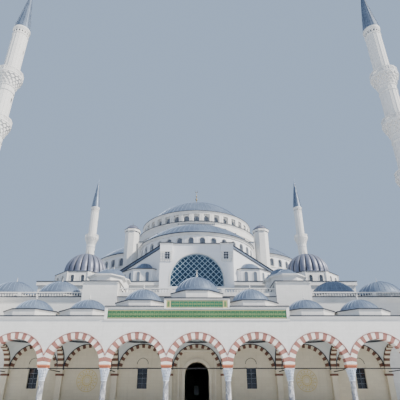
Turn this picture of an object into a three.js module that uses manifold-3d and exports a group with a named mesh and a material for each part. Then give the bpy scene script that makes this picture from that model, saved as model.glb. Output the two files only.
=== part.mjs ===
// A great domed mosque with a seven-bay portico and four minarets, as a 1:10 scale model.
// All driving dimensions are real metres of the building. The dome's axis is at x = 0, y = 0 of the
// building group, the portico faces -Y, and the group puts the middle of the footprint at the origin.
import * as THREE from 'three';
import { mergeVertices } from 'three/addons/utils/BufferGeometryUtils.js';
import Module from 'manifold-3d';

const wasm = await Module();
wasm.setup();

const modelMm = 100; // model millimetres for each metre of the real building, at 1:10
const gap = 0.003; // between pieces that touch, 0.3 mm in the model
const floorTop = 0.5;

// Portico: seven square bays before the hall
const bay = 9.9;
const bayCount = 7;
const porticoFront = -64;
const porticoWall = 1.1;
const porticoStep = 0.6;
const hallFront = -54;
const archRadius = 4.2;
const archSpring = 6.4;
const outerParapet = 14.2;
const innerParapet = 15.8;
const innerParapetHalf = 15.6;
const centreParapet = 17.2;
const centreParapetHalf = 5.6;
const vaultTop = 13.6;
const crossArchRadius = 3.7;
const bayEye = 3.9; // radius of the round opening under each portico dome
const drumTops = [15.6, 15.6, 17.1, 18.8]; // from the end bays to the middle one, as the next two rows
const capTops = [18, 18, 19.9, 22.2];
const capRadii = [3.55, 3.55, 3.55, 4.2];
const skirtRise = 0.25;
const capThickness = 0.3;
const drumApothem = 4.42;
const eaveApothem = 4.85;

// Column
const shaftRadius = 0.45;
const plinthRadii = [0.7, 0.55];
const capitalFoot = 0.52;
const capitalBottom = 4.33;
const impostBottom = 6.1;
const impostHalf = 0.75;
const columnY = -63.2;

// Hall, lower storeys
const hallHalf = 47.5;
const hallBack = 50;
const hallWall = 1.6;
const hallWallTop = 18.6;
const terraceTop = 19.6;
const cornice = 0.5;
const centreTerrace = 20.4;
const parapetHeight = 1.1;
const parapetWall = 0.35;
// x, y and radius of the gallery domes on the right half
const galleryDomes = [[29.4, -46.5, 4.8], [39.4, -46.5, 4.8], [29.4, 44.2, 4.4], [39.4, 44.2, 4.4],
  [42.6, -29.4, 3.6], [42.6, 29.4, 3.6]];
const galleryDrum = 1.5;
const galleryRise = 3.4;

// Buttress towers beside the middle of each front
const towerX = 19.1;
const towerHalf = 3.46;
const towerTop = 22.66;
const towerOut = 0.5; // before the wall below
const towerFoot = 15.9; // of the front pair, which run down over the portico's roof
const shoulderX = 13.6; // inner end of the curved mass that falls from each tower
const shoulderDepth = 8.8;
const lanternApothem = 3.4;
const lanternEave = 3.9;
// Eave, top of the lead skirt, radius of the cap and its top: one lantern on each tower, and behind it a higher
// one on the front pair
const lantern = [24.7, 25.6, 2, 26.6];
const rearLantern = [25.8, 26.9, 2.5, 28.5];

// Upper block
const upperHalf = 38;
const upperWall = 1.4;
const upperWallTop = 26;
const upperTop = 27;
const upperEave = 0.4;
const upperWindows = [-31, -11, 11, 31];
const upperWindow = [0.9, 21.4, 24.2]; // half width, sill and springing, as the window rows below

// Corner domes
const cornerAt = 29.4;
const cornerApothem = 6.9;
const cornerDrumTop = 30.5;
const cornerRadius = 5.6;
const cornerApex = 36.7;
const cornerLobes = 16;
const lobeDepth = 0.05;
const cornerWindow = [0.45, 27.6, 28.75];
const cornerWindowX = 1.25;

// Gable walls and semi-domes
const gableFront = 37.5;
const panelFront = 38.95; // the middle panel stands forward, and its foot runs down before the upper block
const panelFootBack = 38.43;
const panelBack = 34.5;
const gablePanelHalf = 9;
const gableSideX = 20.7;
const gableSideY = 28;
const gableLow = 32.3;
const gableTop = 36.4;
const cornerBlockInner = 5.95; // from here out to the panel's edge, on a corbel
const cornerBlockFront = 39.6;
const cornerBlockBottom = 34.1;
const corbelBottom = 31.7;
const exedraX = 13.2;
const exedraY = 31.8;
const exedraApothem = 5.6;
const exedraTop = 30.4;
const exedraCapY = 34;
const exedraCapRadius = 3.2;
const exedraCapRise = 2.1;
const semiCentre = 16.5;
const semiInner = 15.5;
const semiOuter = 17.0;
const semiRim = 17.5;
const semiRimZ = 41.5;
const semiRise = 7.5;
const semiWindows = 14;
const semiWindowStep = 10.4; // degrees
const semiWindow = [0.75, 37.8, 39.5];
const roomApothem = 15.2; // the eight-sided hole in the upper roof under each semi-dome
const greatWindow = 6.46;
const greatWindowFoot = 25.6;
const greatWindowSpring = 27.3;
const windowNotch = 0.2; // how much wider and lower than the great window the upper block is cut
const notchBack = 36;

// Crossing and main dome
const crossingHalf = 21;
const crossingArm = 17.3;
const greatArch = 15.5;
const greatArchSpring = 31;
const pierTop = 36;
const crossingTop = 43.5;
const crossingSteps = [[14.3, 44.5], [11.8, 46.2], [8.8, 47.6], [5.5, 49.3]];
const domeInner = 17;
const drumBase = 20.3;
const drumBaseTop = 50.5;
const drumCorniceBottom = 53.8;
const drumTop = 54.9;
const drumRadius = 18.4;
const drumRim = 19;
const domeRadius = 17.6;
const domeRise = 9.7;
const domeWindows = 36;
const domeWindow = [0.85, 50.8, 52.6];
const turretAt = 19.5;
const turretRadius = 2;
const turretTop = 47.7;
const turretCapTop = 49.4;

// Minarets: the front two stand before the hall's front wall, the back two at its corners
const minaretBaseHalf = 4;
const minaretFrontX = 46.35;
const minaretFrontY = hallFront - minaretBaseHalf - gap;
const minaretBackX = 51.5;
const minaretBackY = 51.6;
const minaretBaseTop = 22;
const minaretShoulder = 28;
const minaretRadius = 2.05;
const minaretUpperRadius = 1.88;
const balconyFloors = [44.5, 58.5, 72.6];
const balconyRadius = 3.3;
const spireBottom = 89;
const spireTop = 107.1;

const footprintMiddle = (porticoFront - porticoStep + minaretBackY + minaretBaseHalf) / 2;

const stone = new THREE.MeshStandardMaterial({ color: 0xdedbd0, roughness: 0.85, metalness: 0 });
const lead = new THREE.MeshStandardMaterial({ color: 0x7b8794, roughness: 0.6, metalness: 0.3 });
const darkLead = new THREE.MeshStandardMaterial({ color: 0x46505f, roughness: 0.55, metalness: 0.3 });
const marble = new THREE.MeshStandardMaterial({ color: 0xb9bdc0, roughness: 0.4, metalness: 0 });
const glass = new THREE.MeshStandardMaterial({ color: 0x24414c, roughness: 0.2, metalness: 0.1 });

// Solids: three.js makes the shapes, the boolean library joins and cuts them

function toSolid(geometry) {
  const bare = geometry.clone();
  bare.deleteAttribute('normal');
  bare.deleteAttribute('uv');
  const merged = mergeVertices(bare, 1e-5);
  const corners = merged.index.array;
  const kept = [];
  for (let i = 0; i < corners.length; i += 3) {
    const [a, b, c] = [corners[i], corners[i + 1], corners[i + 2]];
    if (a !== b && b !== c && a !== c) kept.push(a, b, c);
  }
  const vertProperties = Float32Array.from(merged.attributes.position.array);
  return new wasm.Manifold(new wasm.Mesh({ numProp: 3, vertProperties, triVerts: Uint32Array.from(kept) }));
}

function toGeometry(solid) {
  const mesh = solid.getMesh();
  const geometry = new THREE.BufferGeometry();
  geometry.setAttribute('position', new THREE.BufferAttribute(mesh.vertProperties, 3));
  geometry.setIndex(new THREE.BufferAttribute(mesh.triVerts, 1));
  geometry.computeVertexNormals();
  return geometry;
}

const join = (...parts) => toGeometry(parts.map(toSolid).reduce((sum, next) => sum.add(next)));
const cut = (body, ...tools) => toGeometry(tools.map(toSolid)
  .reduce((rest, next) => rest.subtract(next), toSolid(body)));
const common = (one, other) => toGeometry(toSolid(one).intersect(toSolid(other)));

function box(x0, x1, y0, y1, z0, z1) {
  const block = new THREE.BoxGeometry(x1 - x0, y1 - y0, z1 - z0);
  return block.translate((x0 + x1) / 2, (y0 + y1) / 2, (z0 + z1) / 2);
}

const square = (half, z0, z1) => box(-half, half, -half, half, z0, z1);

function prism(points, z0, z1) {
  const shape = new THREE.Shape(points.map(([x, y]) => new THREE.Vector2(x, y)));
  return new THREE.ExtrudeGeometry(shape, { depth: z1 - z0, bevelEnabled: false }).translate(0, 0, z0);
}

// An outline in X and Z, pushed along Y from y0 to y1
function slab(points, y0, y1) {
  return prism(points, 0, y1 - y0).rotateX(Math.PI / 2).translate(0, y1, 0);
}

function polygon(sides, apothem) {
  const radius = apothem / Math.cos(Math.PI / sides);
  return Array.from({ length: sides }, (_, i) => {
    const angle = ((i + 0.5) * 2 * Math.PI) / sides;
    return [radius * Math.cos(angle), radius * Math.sin(angle)];
  });
}

// A round-headed opening: width 2 x half, from the sill up to the springing and its arch
function archOutline(half, sill, spring, steps) {
  const head = Array.from({ length: steps + 1 }, (_, i) => {
    const angle = (i * Math.PI) / steps;
    return [half * Math.cos(angle), spring + half * Math.sin(angle)];
  });
  return [[-half, sill], [half, sill], ...head];
}

const arch = (half, sill, spring, y0, y1, steps) => slab(archOutline(half, sill, spring, steps), y0, y1);
// A small window with a pointed head
const pointed = (half, sill, spring, y0, y1) => slab([[-half, sill], [half, sill], [half, spring], [0, spring + half],
  [-half, spring]], y0, y1);

function revolve(profile, sides) {
  const points = profile.map(([r, z]) => new THREE.Vector2(r, z));
  return new THREE.LatheGeometry(points, sides).rotateX(Math.PI / 2);
}

const cylinder = (radius, z0, z1, sides) => revolve([[0, z0], [radius, z0], [radius, z1], [0, z1]], sides);

// A profile of apothems turned into an eight-sided shape that lines up with polygon(8, ...)
function octagonal(profile) {
  const corner = 1 / Math.cos(Math.PI / 8);
  return revolve(profile.map(([apothem, z]) => [apothem * corner, z]), 8).rotateZ(Math.PI / 8);
}

// Points of a spherical cap's outline, from its rim up to its top on the axis
function capArc(radius, rise, z, steps) {
  const sphere = (radius * radius + rise * rise) / (2 * rise);
  const middle = z + rise - sphere;
  const start = Math.asin((z - middle) / sphere);
  return Array.from({ length: steps + 1 }, (_, i) => {
    const angle = start + ((Math.PI / 2 - start) * i) / steps;
    return [i === steps ? 0 : sphere * Math.cos(angle), middle + sphere * Math.sin(angle)];
  });
}

function domeShell(radius, rise, thickness, z, sides, steps) {
  const inside = capArc(radius - thickness, rise - thickness, z, 2).reverse();
  return revolve([...inside, ...capArc(radius, rise, z, steps)], sides);
}

function finial(z, radius, height) {
  const outline = [[0, -0.3], [radius * 0.8, -0.3], [radius * 0.3, 0.12 * height], [radius, 0.24 * height],
    [radius * 0.3, 0.4 * height], [0, height]];
  return revolve(outline.map(([r, up]) => [r, z + up]), 6);
}

// Scalloped lobes on a turned shape: every other meridian is drawn in
function lobed(geometry, lobes, depth) {
  const position = geometry.attributes.position;
  for (let i = 0; i < position.count; i += 1) {
    const angle = Math.atan2(position.getY(i), position.getX(i));
    const share = 1 - depth * (0.5 + 0.5 * Math.cos(lobes * angle));
    position.setX(i, position.getX(i) * share);
    position.setY(i, position.getY(i) * share);
  }
  return geometry;
}

const building = new THREE.Group();
building.position.y = -footprintMiddle * modelMm;

function addPiece(name, geometry, material, x = 0, y = 0, quarterTurns = 0) {
  const mesh = new THREE.Mesh(geometry.clone().scale(modelMm, modelMm, modelMm), material);
  mesh.name = name;
  mesh.position.set(x * modelMm, y * modelMm, 0);
  mesh.rotation.z = (quarterTurns * Math.PI) / 2;
  building.add(mesh);
}

const sides = ['front', 'right', 'back', 'left']; // in quarter turns from the front
const bayCentres = Array.from({ length: bayCount }, (_, i) => (i - (bayCount - 1) / 2) * bay);
const columnLines = Array.from({ length: bayCount + 1 }, (_, i) => (i - bayCount / 2) * bay);
const porticoEnd = (bayCount / 2) * bay + impostHalf;

// Portico

function makePorticoWall() {
  const y0 = porticoFront;
  const y1 = porticoFront + porticoWall;
  const bottom = archSpring + gap;
  const outline = [[-porticoEnd, bottom], [porticoEnd, bottom], [porticoEnd, outerParapet],
    [innerParapetHalf, outerParapet], [innerParapetHalf, innerParapet], [centreParapetHalf, innerParapet],
    [centreParapetHalf, centreParapet], [-centreParapetHalf, centreParapet], [-centreParapetHalf, innerParapet],
    [-innerParapetHalf, innerParapet], [-innerParapetHalf, outerParapet], [-porticoEnd, outerParapet]];
  const opening = arch(archRadius, archSpring - 1, archSpring, y0 - 1, y1 + 1, 14);
  return cut(slab(outline, y0, y1), ...bayCentres.map((x) => opening.clone().translate(x, 0, 0)));
}

function makePorticoVault() {
  const y0 = porticoFront + porticoWall + gap;
  const y1 = hallFront - gap;
  const middle = (y0 + y1) / 2;
  const bottom = archSpring + gap;
  const mass = [box(-porticoEnd + 0.35, porticoEnd - 0.35, y0, y1, bottom, vaultTop)];
  columnLines.forEach((x) => mass.push(box(x - 0.55, x + 0.55, y1 - 0.7, y1, floorTop + gap, bottom + 1)));
  const tunnel = arch(crossArchRadius, bottom - 1, archSpring, -porticoEnd - 1, porticoEnd + 1, 8);
  const openings = [tunnel.rotateZ(Math.PI / 2).translate(0, middle, 0)];
  bayCentres.forEach((x) => {
    openings.push(arch(archRadius, bottom - 1, archSpring, y0 - 1, y1 + 1, 8).translate(x, 0, 0));
    openings.push(cylinder(bayEye, archSpring, vaultTop + 1, 12).translate(x, middle, 0));
  });
  return cut(join(...mass), ...openings);
}

// The drum with its eave, a low lead skirt and the cap, open to the bay below
function makePorticoDome(rank) {
  const z0 = vaultTop + gap;
  const top = drumTops[rank];
  const radius = capRadii[rank];
  const capBase = top + skirtRise;
  const rise = capTops[rank] - capBase;
  const outside = join(prism(polygon(8, drumApothem), z0, top - 0.2),
    octagonal([[0, top - 0.3], [eaveApothem, top - 0.3], [eaveApothem, top], [radius, capBase], [0, capBase]]),
    revolve([[0, top], [radius, top], ...capArc(radius, rise, capBase, 3)], 16));
  const inside = revolve([[0, z0 - 1], [bayEye, z0 - 1], [bayEye, top - 0.6],
    ...capArc(radius - capThickness, rise - capThickness, capBase, 2)], 12);
  const wallFace = hallFront - gap - porticoMiddle;
  return common(cut(outside, inside), box(-bay / 2, bay / 2, -bay / 2, wallFace, z0 - 1, capTops[rank] + 1));
}

function makeColumn() {
  const base = floorTop + gap;
  const [plinth, torus] = plinthRadii;
  const profile = [[0, base], [plinth, base], [plinth, base + 0.3], [torus, base + 0.55], [shaftRadius, base + 0.7],
    [shaftRadius * 0.92, capitalBottom], [capitalFoot, capitalBottom + 0.05], [capitalFoot, capitalBottom + 0.25],
    [impostHalf * 0.97, impostBottom - 0.25], [impostHalf * 0.97, impostBottom + 0.1], [0, impostBottom + 0.1]];
  return join(revolve(profile, 8), square(impostHalf, impostBottom, archSpring));
}

const porticoMiddle = (porticoFront + porticoWall + hallFront) / 2;
addPiece('ground_floor', join(box(-hallHalf, hallHalf, hallFront, hallBack, 0, floorTop),
  box(-porticoEnd - porticoStep, porticoEnd + porticoStep, porticoFront - porticoStep, hallFront + 1, 0, floorTop)), stone);
// The arcade and the vault are in three lengths: bays 1 and 2, bays 3 to 5, bays 6 and 7
const arcade = makePorticoWall();
const vault = makePorticoVault();
const lengthEnd = columnLines[5];
[['left', -porticoEnd, -lengthEnd - gap], ['middle', -lengthEnd, lengthEnd],
  ['right', lengthEnd + gap, porticoEnd]].forEach(([name, x0, x1]) => {
  const length = box(x0, x1, porticoFront - 1, hallFront, 0, centreParapet + 1);
  addPiece(`portico_arcade_${name}`, common(arcade, length), stone);
  addPiece(`portico_vault_${name}`, common(vault, length), stone);
});
const column = makeColumn();
columnLines.forEach((x, i) => addPiece(`portico_column_${i + 1}`, column, marble, x, columnY));
bayCentres.forEach((x, i) => {
  const rank = Math.min(i, bayCount - 1 - i);
  addPiece(`portico_dome_${i + 1}`, makePorticoDome(rank), lead, x, porticoMiddle);
});

// Hall: walls and terrace

const rectangle = (x, half, z0, z1, y0, y1) => box(x - half, x + half, y0, y1, z0, z1);
const windowHalf = 0.9;
const lowSill = 3.3;
const lowHead = 6.7;
const highSill = 11.4;
const highSpring = 13.6;

function makeFrontWall() {
  const y0 = hallFront;
  const y1 = hallFront + hallWall;
  const wall = box(-hallHalf, hallHalf, y0, y1, floorTop + gap, hallWallTop);
  const holes = [arch(2.2, 0, 5.6, y0 - 1, y1 + 1, 8)];
  [-3, -1, 1, 3].forEach((k) => holes.push(rectangle(k * bay, windowHalf, lowSill, lowHead, y0 - 1, y1 + 1)));
  return cut(wall, ...holes);
}

// A wall along X at the given distance behind its own front, with two rows of windows
function makeSideWall(half, face, count, pitch) {
  const wall = box(-half, half, face, face + hallWall, floorTop + gap, hallWallTop);
  const holes = [];
  for (let i = 0; i < count; i += 1) {
    const x = (i - (count - 1) / 2) * pitch;
    holes.push(rectangle(x, windowHalf, lowSill, lowHead, face - 1, face + hallWall + 1));
    holes.push(pointed(windowHalf, highSill, highSpring, face - 1, face + hallWall + 1).translate(x, 0, 0));
  }
  return cut(wall, ...holes);
}

const sideLength = hallBack - hallFront - 2 * hallWall - 2 * gap;
const sideMiddle = (hallBack + hallFront) / 2;
addPiece('hall_front_wall', makeFrontWall(), stone);
addPiece('hall_back_wall', makeSideWall(hallHalf, -hallBack, 9, bay), stone, 0, 0, 2);
const sideWall = makeSideWall(sideLength / 2, -hallHalf, 10, bay);
addPiece('hall_right_wall', sideWall, stone, 0, sideMiddle, 1);
addPiece('hall_left_wall', sideWall, stone, 0, sideMiddle, 3);

// A pierced parapet along X, standing at y, with a rail over openings between its posts
function parapet(x0, x1, y, z) {
  const wall = box(x0, x1, y - parapetWall / 2, y + parapetWall / 2, z - 0.2, z + parapetHeight);
  const count = Math.max(1, Math.round((x1 - x0) / 12));
  const pitch = (x1 - x0) / count;
  const gaps = [];
  for (let i = 0; i < count; i += 1) {
    const left = x0 + i * pitch;
    gaps.push(box(left + 0.35, left + pitch - 0.35, y - 1, y + 1, z + 0.22, z + parapetHeight - 0.2));
  }
  return cut(wall, ...gaps);
}

function galleryDome(x, y, radius) {
  const z = terraceTop + galleryDrum;
  const base = cylinder(radius + 0.4, terraceTop - 0.3, z, 8).translate(x, y, 0);
  const cap = revolve([[0, z - 0.2], [radius, z - 0.2], ...capArc(radius, galleryRise, z, 2)], 12);
  return join(base, cap.translate(x, y, 0));
}

function makeTerrace() {
  const z0 = hallWallTop + gap;
  const edge = cornice;
  const slabs = box(-hallHalf - edge, hallHalf + edge, hallFront, hallBack + edge, z0, terraceTop);
  const inner = upperHalf - upperWall;
  const well = box(-inner, inner, -inner, inner, z0 - 1, terraceTop + 1);
  const fit = minaretBaseHalf + gap;
  const corners = [-minaretBackX, minaretBackX].map((x) => box(x - fit, x + fit, minaretBackY - fit,
    minaretBackY + fit, z0 - 1, terraceTop + 3));
  const rim = hallHalf + edge - parapetWall;
  const wing = towerX + towerHalf + gap;
  const rails = [];
  [-1, 1].forEach((side) => {
    [hallFront + parapetWall, hallBack + edge - parapetWall].forEach((y) => {
      const [a, b] = side < 0 ? [-hallHalf - 0.2, -wing] : [wing, hallHalf + 0.2];
      rails.push(parapet(a, b, y, terraceTop));
    });
    const turn = (rail) => rail.rotateZ(Math.PI / 2);
    rails.push(turn(parapet(wing, hallBack, -side * rim, terraceTop)));
    rails.push(turn(parapet(hallFront, -wing, -side * rim, terraceTop)));
  });
  const domes = galleryDomes.flatMap(([x, y, radius]) => [galleryDome(x, y, radius), galleryDome(-x, y, radius)]);
  return cut(join(slabs, ...rails, ...domes), well, ...corners);
}

addPiece('terrace_roof', makeTerrace(), stone);

function makeLantern([eave, skirtTop, capRadius, capTop]) {
  const cap = capArc(capRadius, capTop - skirtTop, skirtTop, 2);
  return join(prism(polygon(8, lanternApothem), towerTop - 0.5, eave),
    octagonal([[0, eave - 0.2], [lanternEave, eave - 0.2], [lanternEave, eave], ...cap]));
}

// A mass whose top falls in a hollow quarter-round from the tower down to the middle terrace
function makeShoulder(y0, y1) {
  const towerInner = towerX - towerHalf;
  const low = terraceTop + gap;
  const outline = [[towerInner + 0.2, low], [towerInner + 0.2, towerTop]];
  for (let i = 0; i <= 4; i += 1) {
    const angle = (i * Math.PI) / 8;
    outline.push([shoulderX + (towerInner - shoulderX) * Math.cos(angle),
      towerTop - (towerTop - centreTerrace) * Math.sin(angle)]);
  }
  outline.push([shoulderX, low]);
  return slab(outline, y0, y1);
}

// The block over the middle of one front, between its two buttress towers; face is the wall's distance
function makeButtressBlock(face, overPortico = false) {
  const z = terraceTop + gap;
  const back = -(upperHalf + gap);
  const front = -face + 1;
  const shoulder = makeShoulder(front + 0.6, Math.min(front + 0.6 + shoulderDepth, back));
  const towerInner = towerX - towerHalf + 0.1;
  const towerFront = -face - towerOut;
  const parts = [box(-towerX, towerX, front - 0.9, front + 5.5, z, centreTerrace), shoulder, toMirror(shoulder),
    parapet(-towerInner, towerInner, front - 0.6, centreTerrace)];
  [-1, 1].forEach((side) => {
    const x = side * towerX;
    parts.push(box(x - towerHalf, x + towerHalf, towerFront, back, z, towerTop));
    parts.push(makeLantern(lantern).translate(x, front + 4, 0));
    if (overPortico) {
      parts.push(makeLantern(rearLantern).translate(x, front + 10, 0));
      parts.push(box(x - towerHalf, x + towerHalf, towerFront, -face - gap, towerFoot, z + 0.2));
    }
  });
  return join(...parts);
}

addPiece('front_buttress_block', makeButtressBlock(-hallFront, true), stone);
addPiece('back_buttress_block', makeButtressBlock(hallBack), stone, 0, 0, 2);
addPiece('right_buttress_block', makeButtressBlock(hallHalf), stone, 0, 0, 1);
addPiece('left_buttress_block', makeButtressBlock(hallHalf), stone, 0, 0, 3);

// Upper block

function makeUpperWalls() {
  const z0 = terraceTop + gap;
  const inner = upperHalf - upperWall;
  const holes = [square(inner, z0 - 1, upperWallTop + 1)];
  [0, 1].forEach((turn) => {
    const angle = (turn * Math.PI) / 2;
    upperWindows.forEach((x) => {
      holes.push(pointed(...upperWindow, -upperHalf - 1, upperHalf + 1).translate(x, 0, 0).rotateZ(angle));
    });
    const notch = greatWindow + windowNotch;
    const notchFoot = greatWindowFoot - windowNotch;
    holes.push(box(-notch, notch, -upperHalf - 1, upperHalf + 1, notchFoot, upperWallTop + 1).rotateZ(angle));
  });
  return cut(square(upperHalf, z0, upperWallTop), ...holes);
}

function makeUpperRoof() {
  const z0 = upperWallTop + gap;
  const fit = crossingHalf + gap;
  const holes = [square(fit, z0 - 1, upperTop + 1)];
  const notch = greatWindow + windowNotch;
  for (let turn = 0; turn < 4; turn += 1) {
    const angle = (turn * Math.PI) / 2;
    holes.push(prism(polygon(8, roomApothem), z0 - 1, upperTop + 1).translate(0, -semiCentre, 0).rotateZ(angle));
    holes.push(box(-notch, notch, -upperHalf - 1, -notchBack, z0 - 1, upperTop + 1).rotateZ(angle));
    const cornerHole = cylinder(cornerRadius - 0.5, z0 - 1, upperTop + 1, 8);
    holes.push(cornerHole.translate(cornerAt, cornerAt, 0).rotateZ(angle));
  }
  return cut(square(upperHalf + upperEave, z0, upperTop), ...holes);
}

addPiece('upper_walls', makeUpperWalls(), stone);
addPiece('upper_roof', makeUpperRoof(), lead);

// A corner dome: an octagonal drum with two windows a face under a dome of scalloped lobes
function makeCornerDome() {
  const z0 = upperTop + gap;
  const inside = cornerRadius - 0.5;
  const base = cornerDrumTop - 0.2;
  const outline = [[0, base], [cornerRadius, base],
    ...capArc(cornerRadius, cornerApex - cornerDrumTop - 0.4, cornerDrumTop + 0.4, 3)];
  const cap = lobed(revolve(outline, 2 * cornerLobes), cornerLobes, lobeDepth);
  const drum = join(prism(polygon(8, cornerApothem), z0, cornerDrumTop - 0.5),
    prism(polygon(8, cornerApothem - 0.5), cornerDrumTop - 0.6, cornerDrumTop), cap);
  const hollow = revolve([[0, z0 - 1], [inside, z0 - 1], [inside, cornerDrumTop],
    ...capArc(inside, cornerApex - cornerDrumTop - 0.9, cornerDrumTop, 2).slice(1)], 8);
  const holes = [hollow];
  for (let face = 0; face < 4; face += 1) {
    [-cornerWindowX, cornerWindowX].forEach((x) => {
      const window = pointed(...cornerWindow, -cornerApothem - 1, cornerApothem + 1).translate(x, 0, 0);
      holes.push(window.rotateZ((face * Math.PI) / 4));
    });
  }
  return cut(drum, ...holes);
}

const cornerDome = makeCornerDome();
[['front_right', 1, -1], ['back_right', 1, 1], ['back_left', -1, 1],
  ['front_left', -1, -1]].forEach(([name, x, y]) => {
  addPiece(`${name}_corner_dome`, cornerDome, darkLead, x * cornerAt, y * cornerAt);
});

// The half-octagon wall under a semi-dome, with its great window and two exedrae
function makeGable() {
  const z0 = upperTop + gap;
  const back = -(crossingHalf + gap);
  const outline = [[-gableSideX, back], [-gableSideX, -gableSideY], [-gablePanelHalf, -gableFront],
    [gablePanelHalf, -gableFront], [gableSideX, -gableSideY], [gableSideX, back]];
  const parts = [prism(outline, z0, gableLow),
    box(-gablePanelHalf, gablePanelHalf, -panelFront, -panelBack, z0, gableTop),
    box(-gablePanelHalf, gablePanelHalf, -panelFront, -panelFootBack, terraceTop + gap, gableTop)];
  const run = Math.hypot(gableSideX - gablePanelHalf, gableFront - gableSideY);
  const turn = Math.atan2(gableFront - gableSideY, gableSideX - gablePanelHalf);
  const rake = slab([[-0.3, gableLow - 1], [run, gableLow - 1], [run, gableLow], [-0.3, gableTop - 0.02]], 0, 1.6)
    .rotateZ(turn).translate(gablePanelHalf, -gableFront, 0);
  const corbel = [[-panelFront, corbelBottom], [-cornerBlockFront, cornerBlockBottom],
    [-cornerBlockFront, gableTop], [-panelFront + 0.5, gableTop], [-panelFront + 0.5, corbelBottom]];
  const block = slab(corbel, -gablePanelHalf, -cornerBlockInner).rotateZ(Math.PI / 2);
  const exedraCap = revolve([[0, exedraTop - 0.2], [exedraCapRadius, exedraTop - 0.2],
    ...capArc(exedraCapRadius, exedraCapRise, exedraTop + 0.1, 3)], 12);
  const exedra = join(prism(polygon(8, exedraApothem), z0, exedraTop).translate(exedraX, -exedraY, 0),
    exedraCap.translate(exedraX, -exedraCapY, 0));
  [rake, block, exedra].forEach((shape) => parts.push(shape, toMirror(shape)));
  const room = cylinder(semiInner, z0 - 1, gableTop + 1, 24).translate(0, -semiCentre, 0);
  const opening = arch(greatWindow, greatWindowFoot, greatWindowSpring, -panelFront - 2, -semiCentre, 14);
  return cut(join(...parts), room, opening);
}

function toMirror(geometry) {
  const solid = toSolid(geometry);
  const mesh = solid.getMesh();
  const flipped = new THREE.BufferGeometry();
  const position = Float32Array.from(mesh.vertProperties, (value, i) => (i % 3 === 0 ? -value : value));
  const index = Uint32Array.from(mesh.triVerts, (_, i) => mesh.triVerts[i - (i % 3) + (2 - (i % 3))]);
  flipped.setAttribute('position', new THREE.BufferAttribute(position, 3));
  flipped.setIndex(new THREE.BufferAttribute(index, 1));
  return flipped;
}

function makeSemidome() {
  const z0 = gableLow + gap;
  const back = -(crossingHalf + gap);
  const ring = [[semiInner, z0], [semiOuter, z0], [semiOuter, semiRimZ - 0.5], [semiRim, semiRimZ - 0.5],
    [semiRim, semiRimZ + 0.1], [semiInner, semiRimZ + 0.1], [semiInner, z0]];
  const shell = domeShell(semiRim - 0.1, semiRise, 0.9, semiRimZ, 36, 3);
  const keep = box(-semiRim - 1, semiRim + 1, -semiRim - 1 - semiCentre, back, z0 - 1, semiRimZ + semiRise + 1);
  const holes = [];
  for (let k = 0; k < semiWindows; k += 1) {
    const angle = ((k - (semiWindows - 1) / 2) * semiWindowStep * Math.PI) / 180;
    holes.push(pointed(...semiWindow, -semiRim - 1, -semiInner + 1).rotateZ(angle).translate(0, -semiCentre, 0));
  }
  const whole = join(revolve(ring, 36), shell).rotateZ(Math.PI / 36).translate(0, -semiCentre, 0);
  return cut(common(whole, keep), ...holes);
}

function makeGreatWindow() {
  const y = -gableFront + 0.2;
  return arch(greatWindow - gap, greatWindowFoot + gap, greatWindowSpring, y, y + 0.4, 14);
}

const gable = makeGable();
const semidome = makeSemidome();
const greatPane = makeGreatWindow();
sides.forEach((side, turn) => {
  addPiece(`${side}_gable`, gable, stone, 0, 0, turn);
  addPiece(`${side}_semidome`, semidome, lead, 0, 0, turn);
  addPiece(`${side}_great_window`, greatPane, glass, 0, 0, turn);
});

// Crossing: four piers, four great arches, pendentives, the stepped tops and the corner turrets
function makeCrossing() {
  const z0 = floorTop + gap;
  const parts = [square(crossingHalf, z0, pierTop), cylinder(drumBase, crossingTop - 1, drumBaseTop, 36)];
  const holes = [];
  for (let turn = 0; turn < 2; turn += 1) {
    const angle = (turn * Math.PI) / 2;
    parts.push(box(-crossingArm, crossingArm, -crossingHalf, crossingHalf, pierTop - 1, crossingTop).rotateZ(angle));
    holes.push(arch(greatArch, z0 - 1, greatArchSpring, -crossingHalf - 1, crossingHalf + 1, 14).rotateZ(angle));
    crossingSteps.forEach(([half, top]) => {
      parts.push(box(-half, half, -crossingHalf, crossingHalf, crossingTop - 1, top).rotateZ(angle));
    });
  }
  [[-1, -1], [-1, 1], [1, -1], [1, 1]].forEach(([x, y]) => {
    const cap = capArc(turretRadius, turretCapTop - turretTop, turretTop, 2);
    const turret = join(prism(polygon(8, turretRadius), pierTop - 1, turretTop - 0.7),
      prism(polygon(8, turretRadius + 0.3), turretTop - 0.8, turretTop),
      revolve([[0, turretTop - 0.2], [turretRadius, turretTop - 0.2], ...cap], 8));
    parts.push(turret.translate(x * turretAt, y * turretAt, 0));
  });
  // The pendentives: what a globe through the square's corners leaves under the drum
  const globe = new THREE.SphereGeometry(domeInner * Math.SQRT2, 20, 10).rotateX(Math.PI / 2).translate(0, 0, 30);
  holes.push(common(globe, square(domeInner, 30, 48)));
  holes.push(cylinder(domeInner, 40, drumBaseTop + 1, 36));
  return cut(join(...parts), ...holes);
}

function makeMainDrum() {
  const z0 = drumBaseTop + gap;
  const ring = [[domeInner, z0], [drumRadius, z0], [drumRadius, drumCorniceBottom], [drumRim, drumTop - 0.6],
    [drumRim, drumTop], [domeInner, drumTop], [domeInner, z0]];
  const holes = [];
  const step = (2 * Math.PI) / domeWindows;
  for (let k = 0; k < domeWindows; k += 1) {
    holes.push(pointed(...domeWindow, -drumRim - 1, -domeInner + 1).rotateZ(k * step));
  }
  return cut(revolve(ring, domeWindows).rotateZ(step / 2), ...holes);
}

addPiece('crossing', makeCrossing(), stone);
addPiece('main_drum', makeMainDrum(), stone);
addPiece('main_dome', join(domeShell(domeRadius, domeRise, 0.8, drumTop + gap, 36, 4),
  finial(drumTop + domeRise - 0.1, 0.75, 7.5)), lead);

// Minarets

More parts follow.
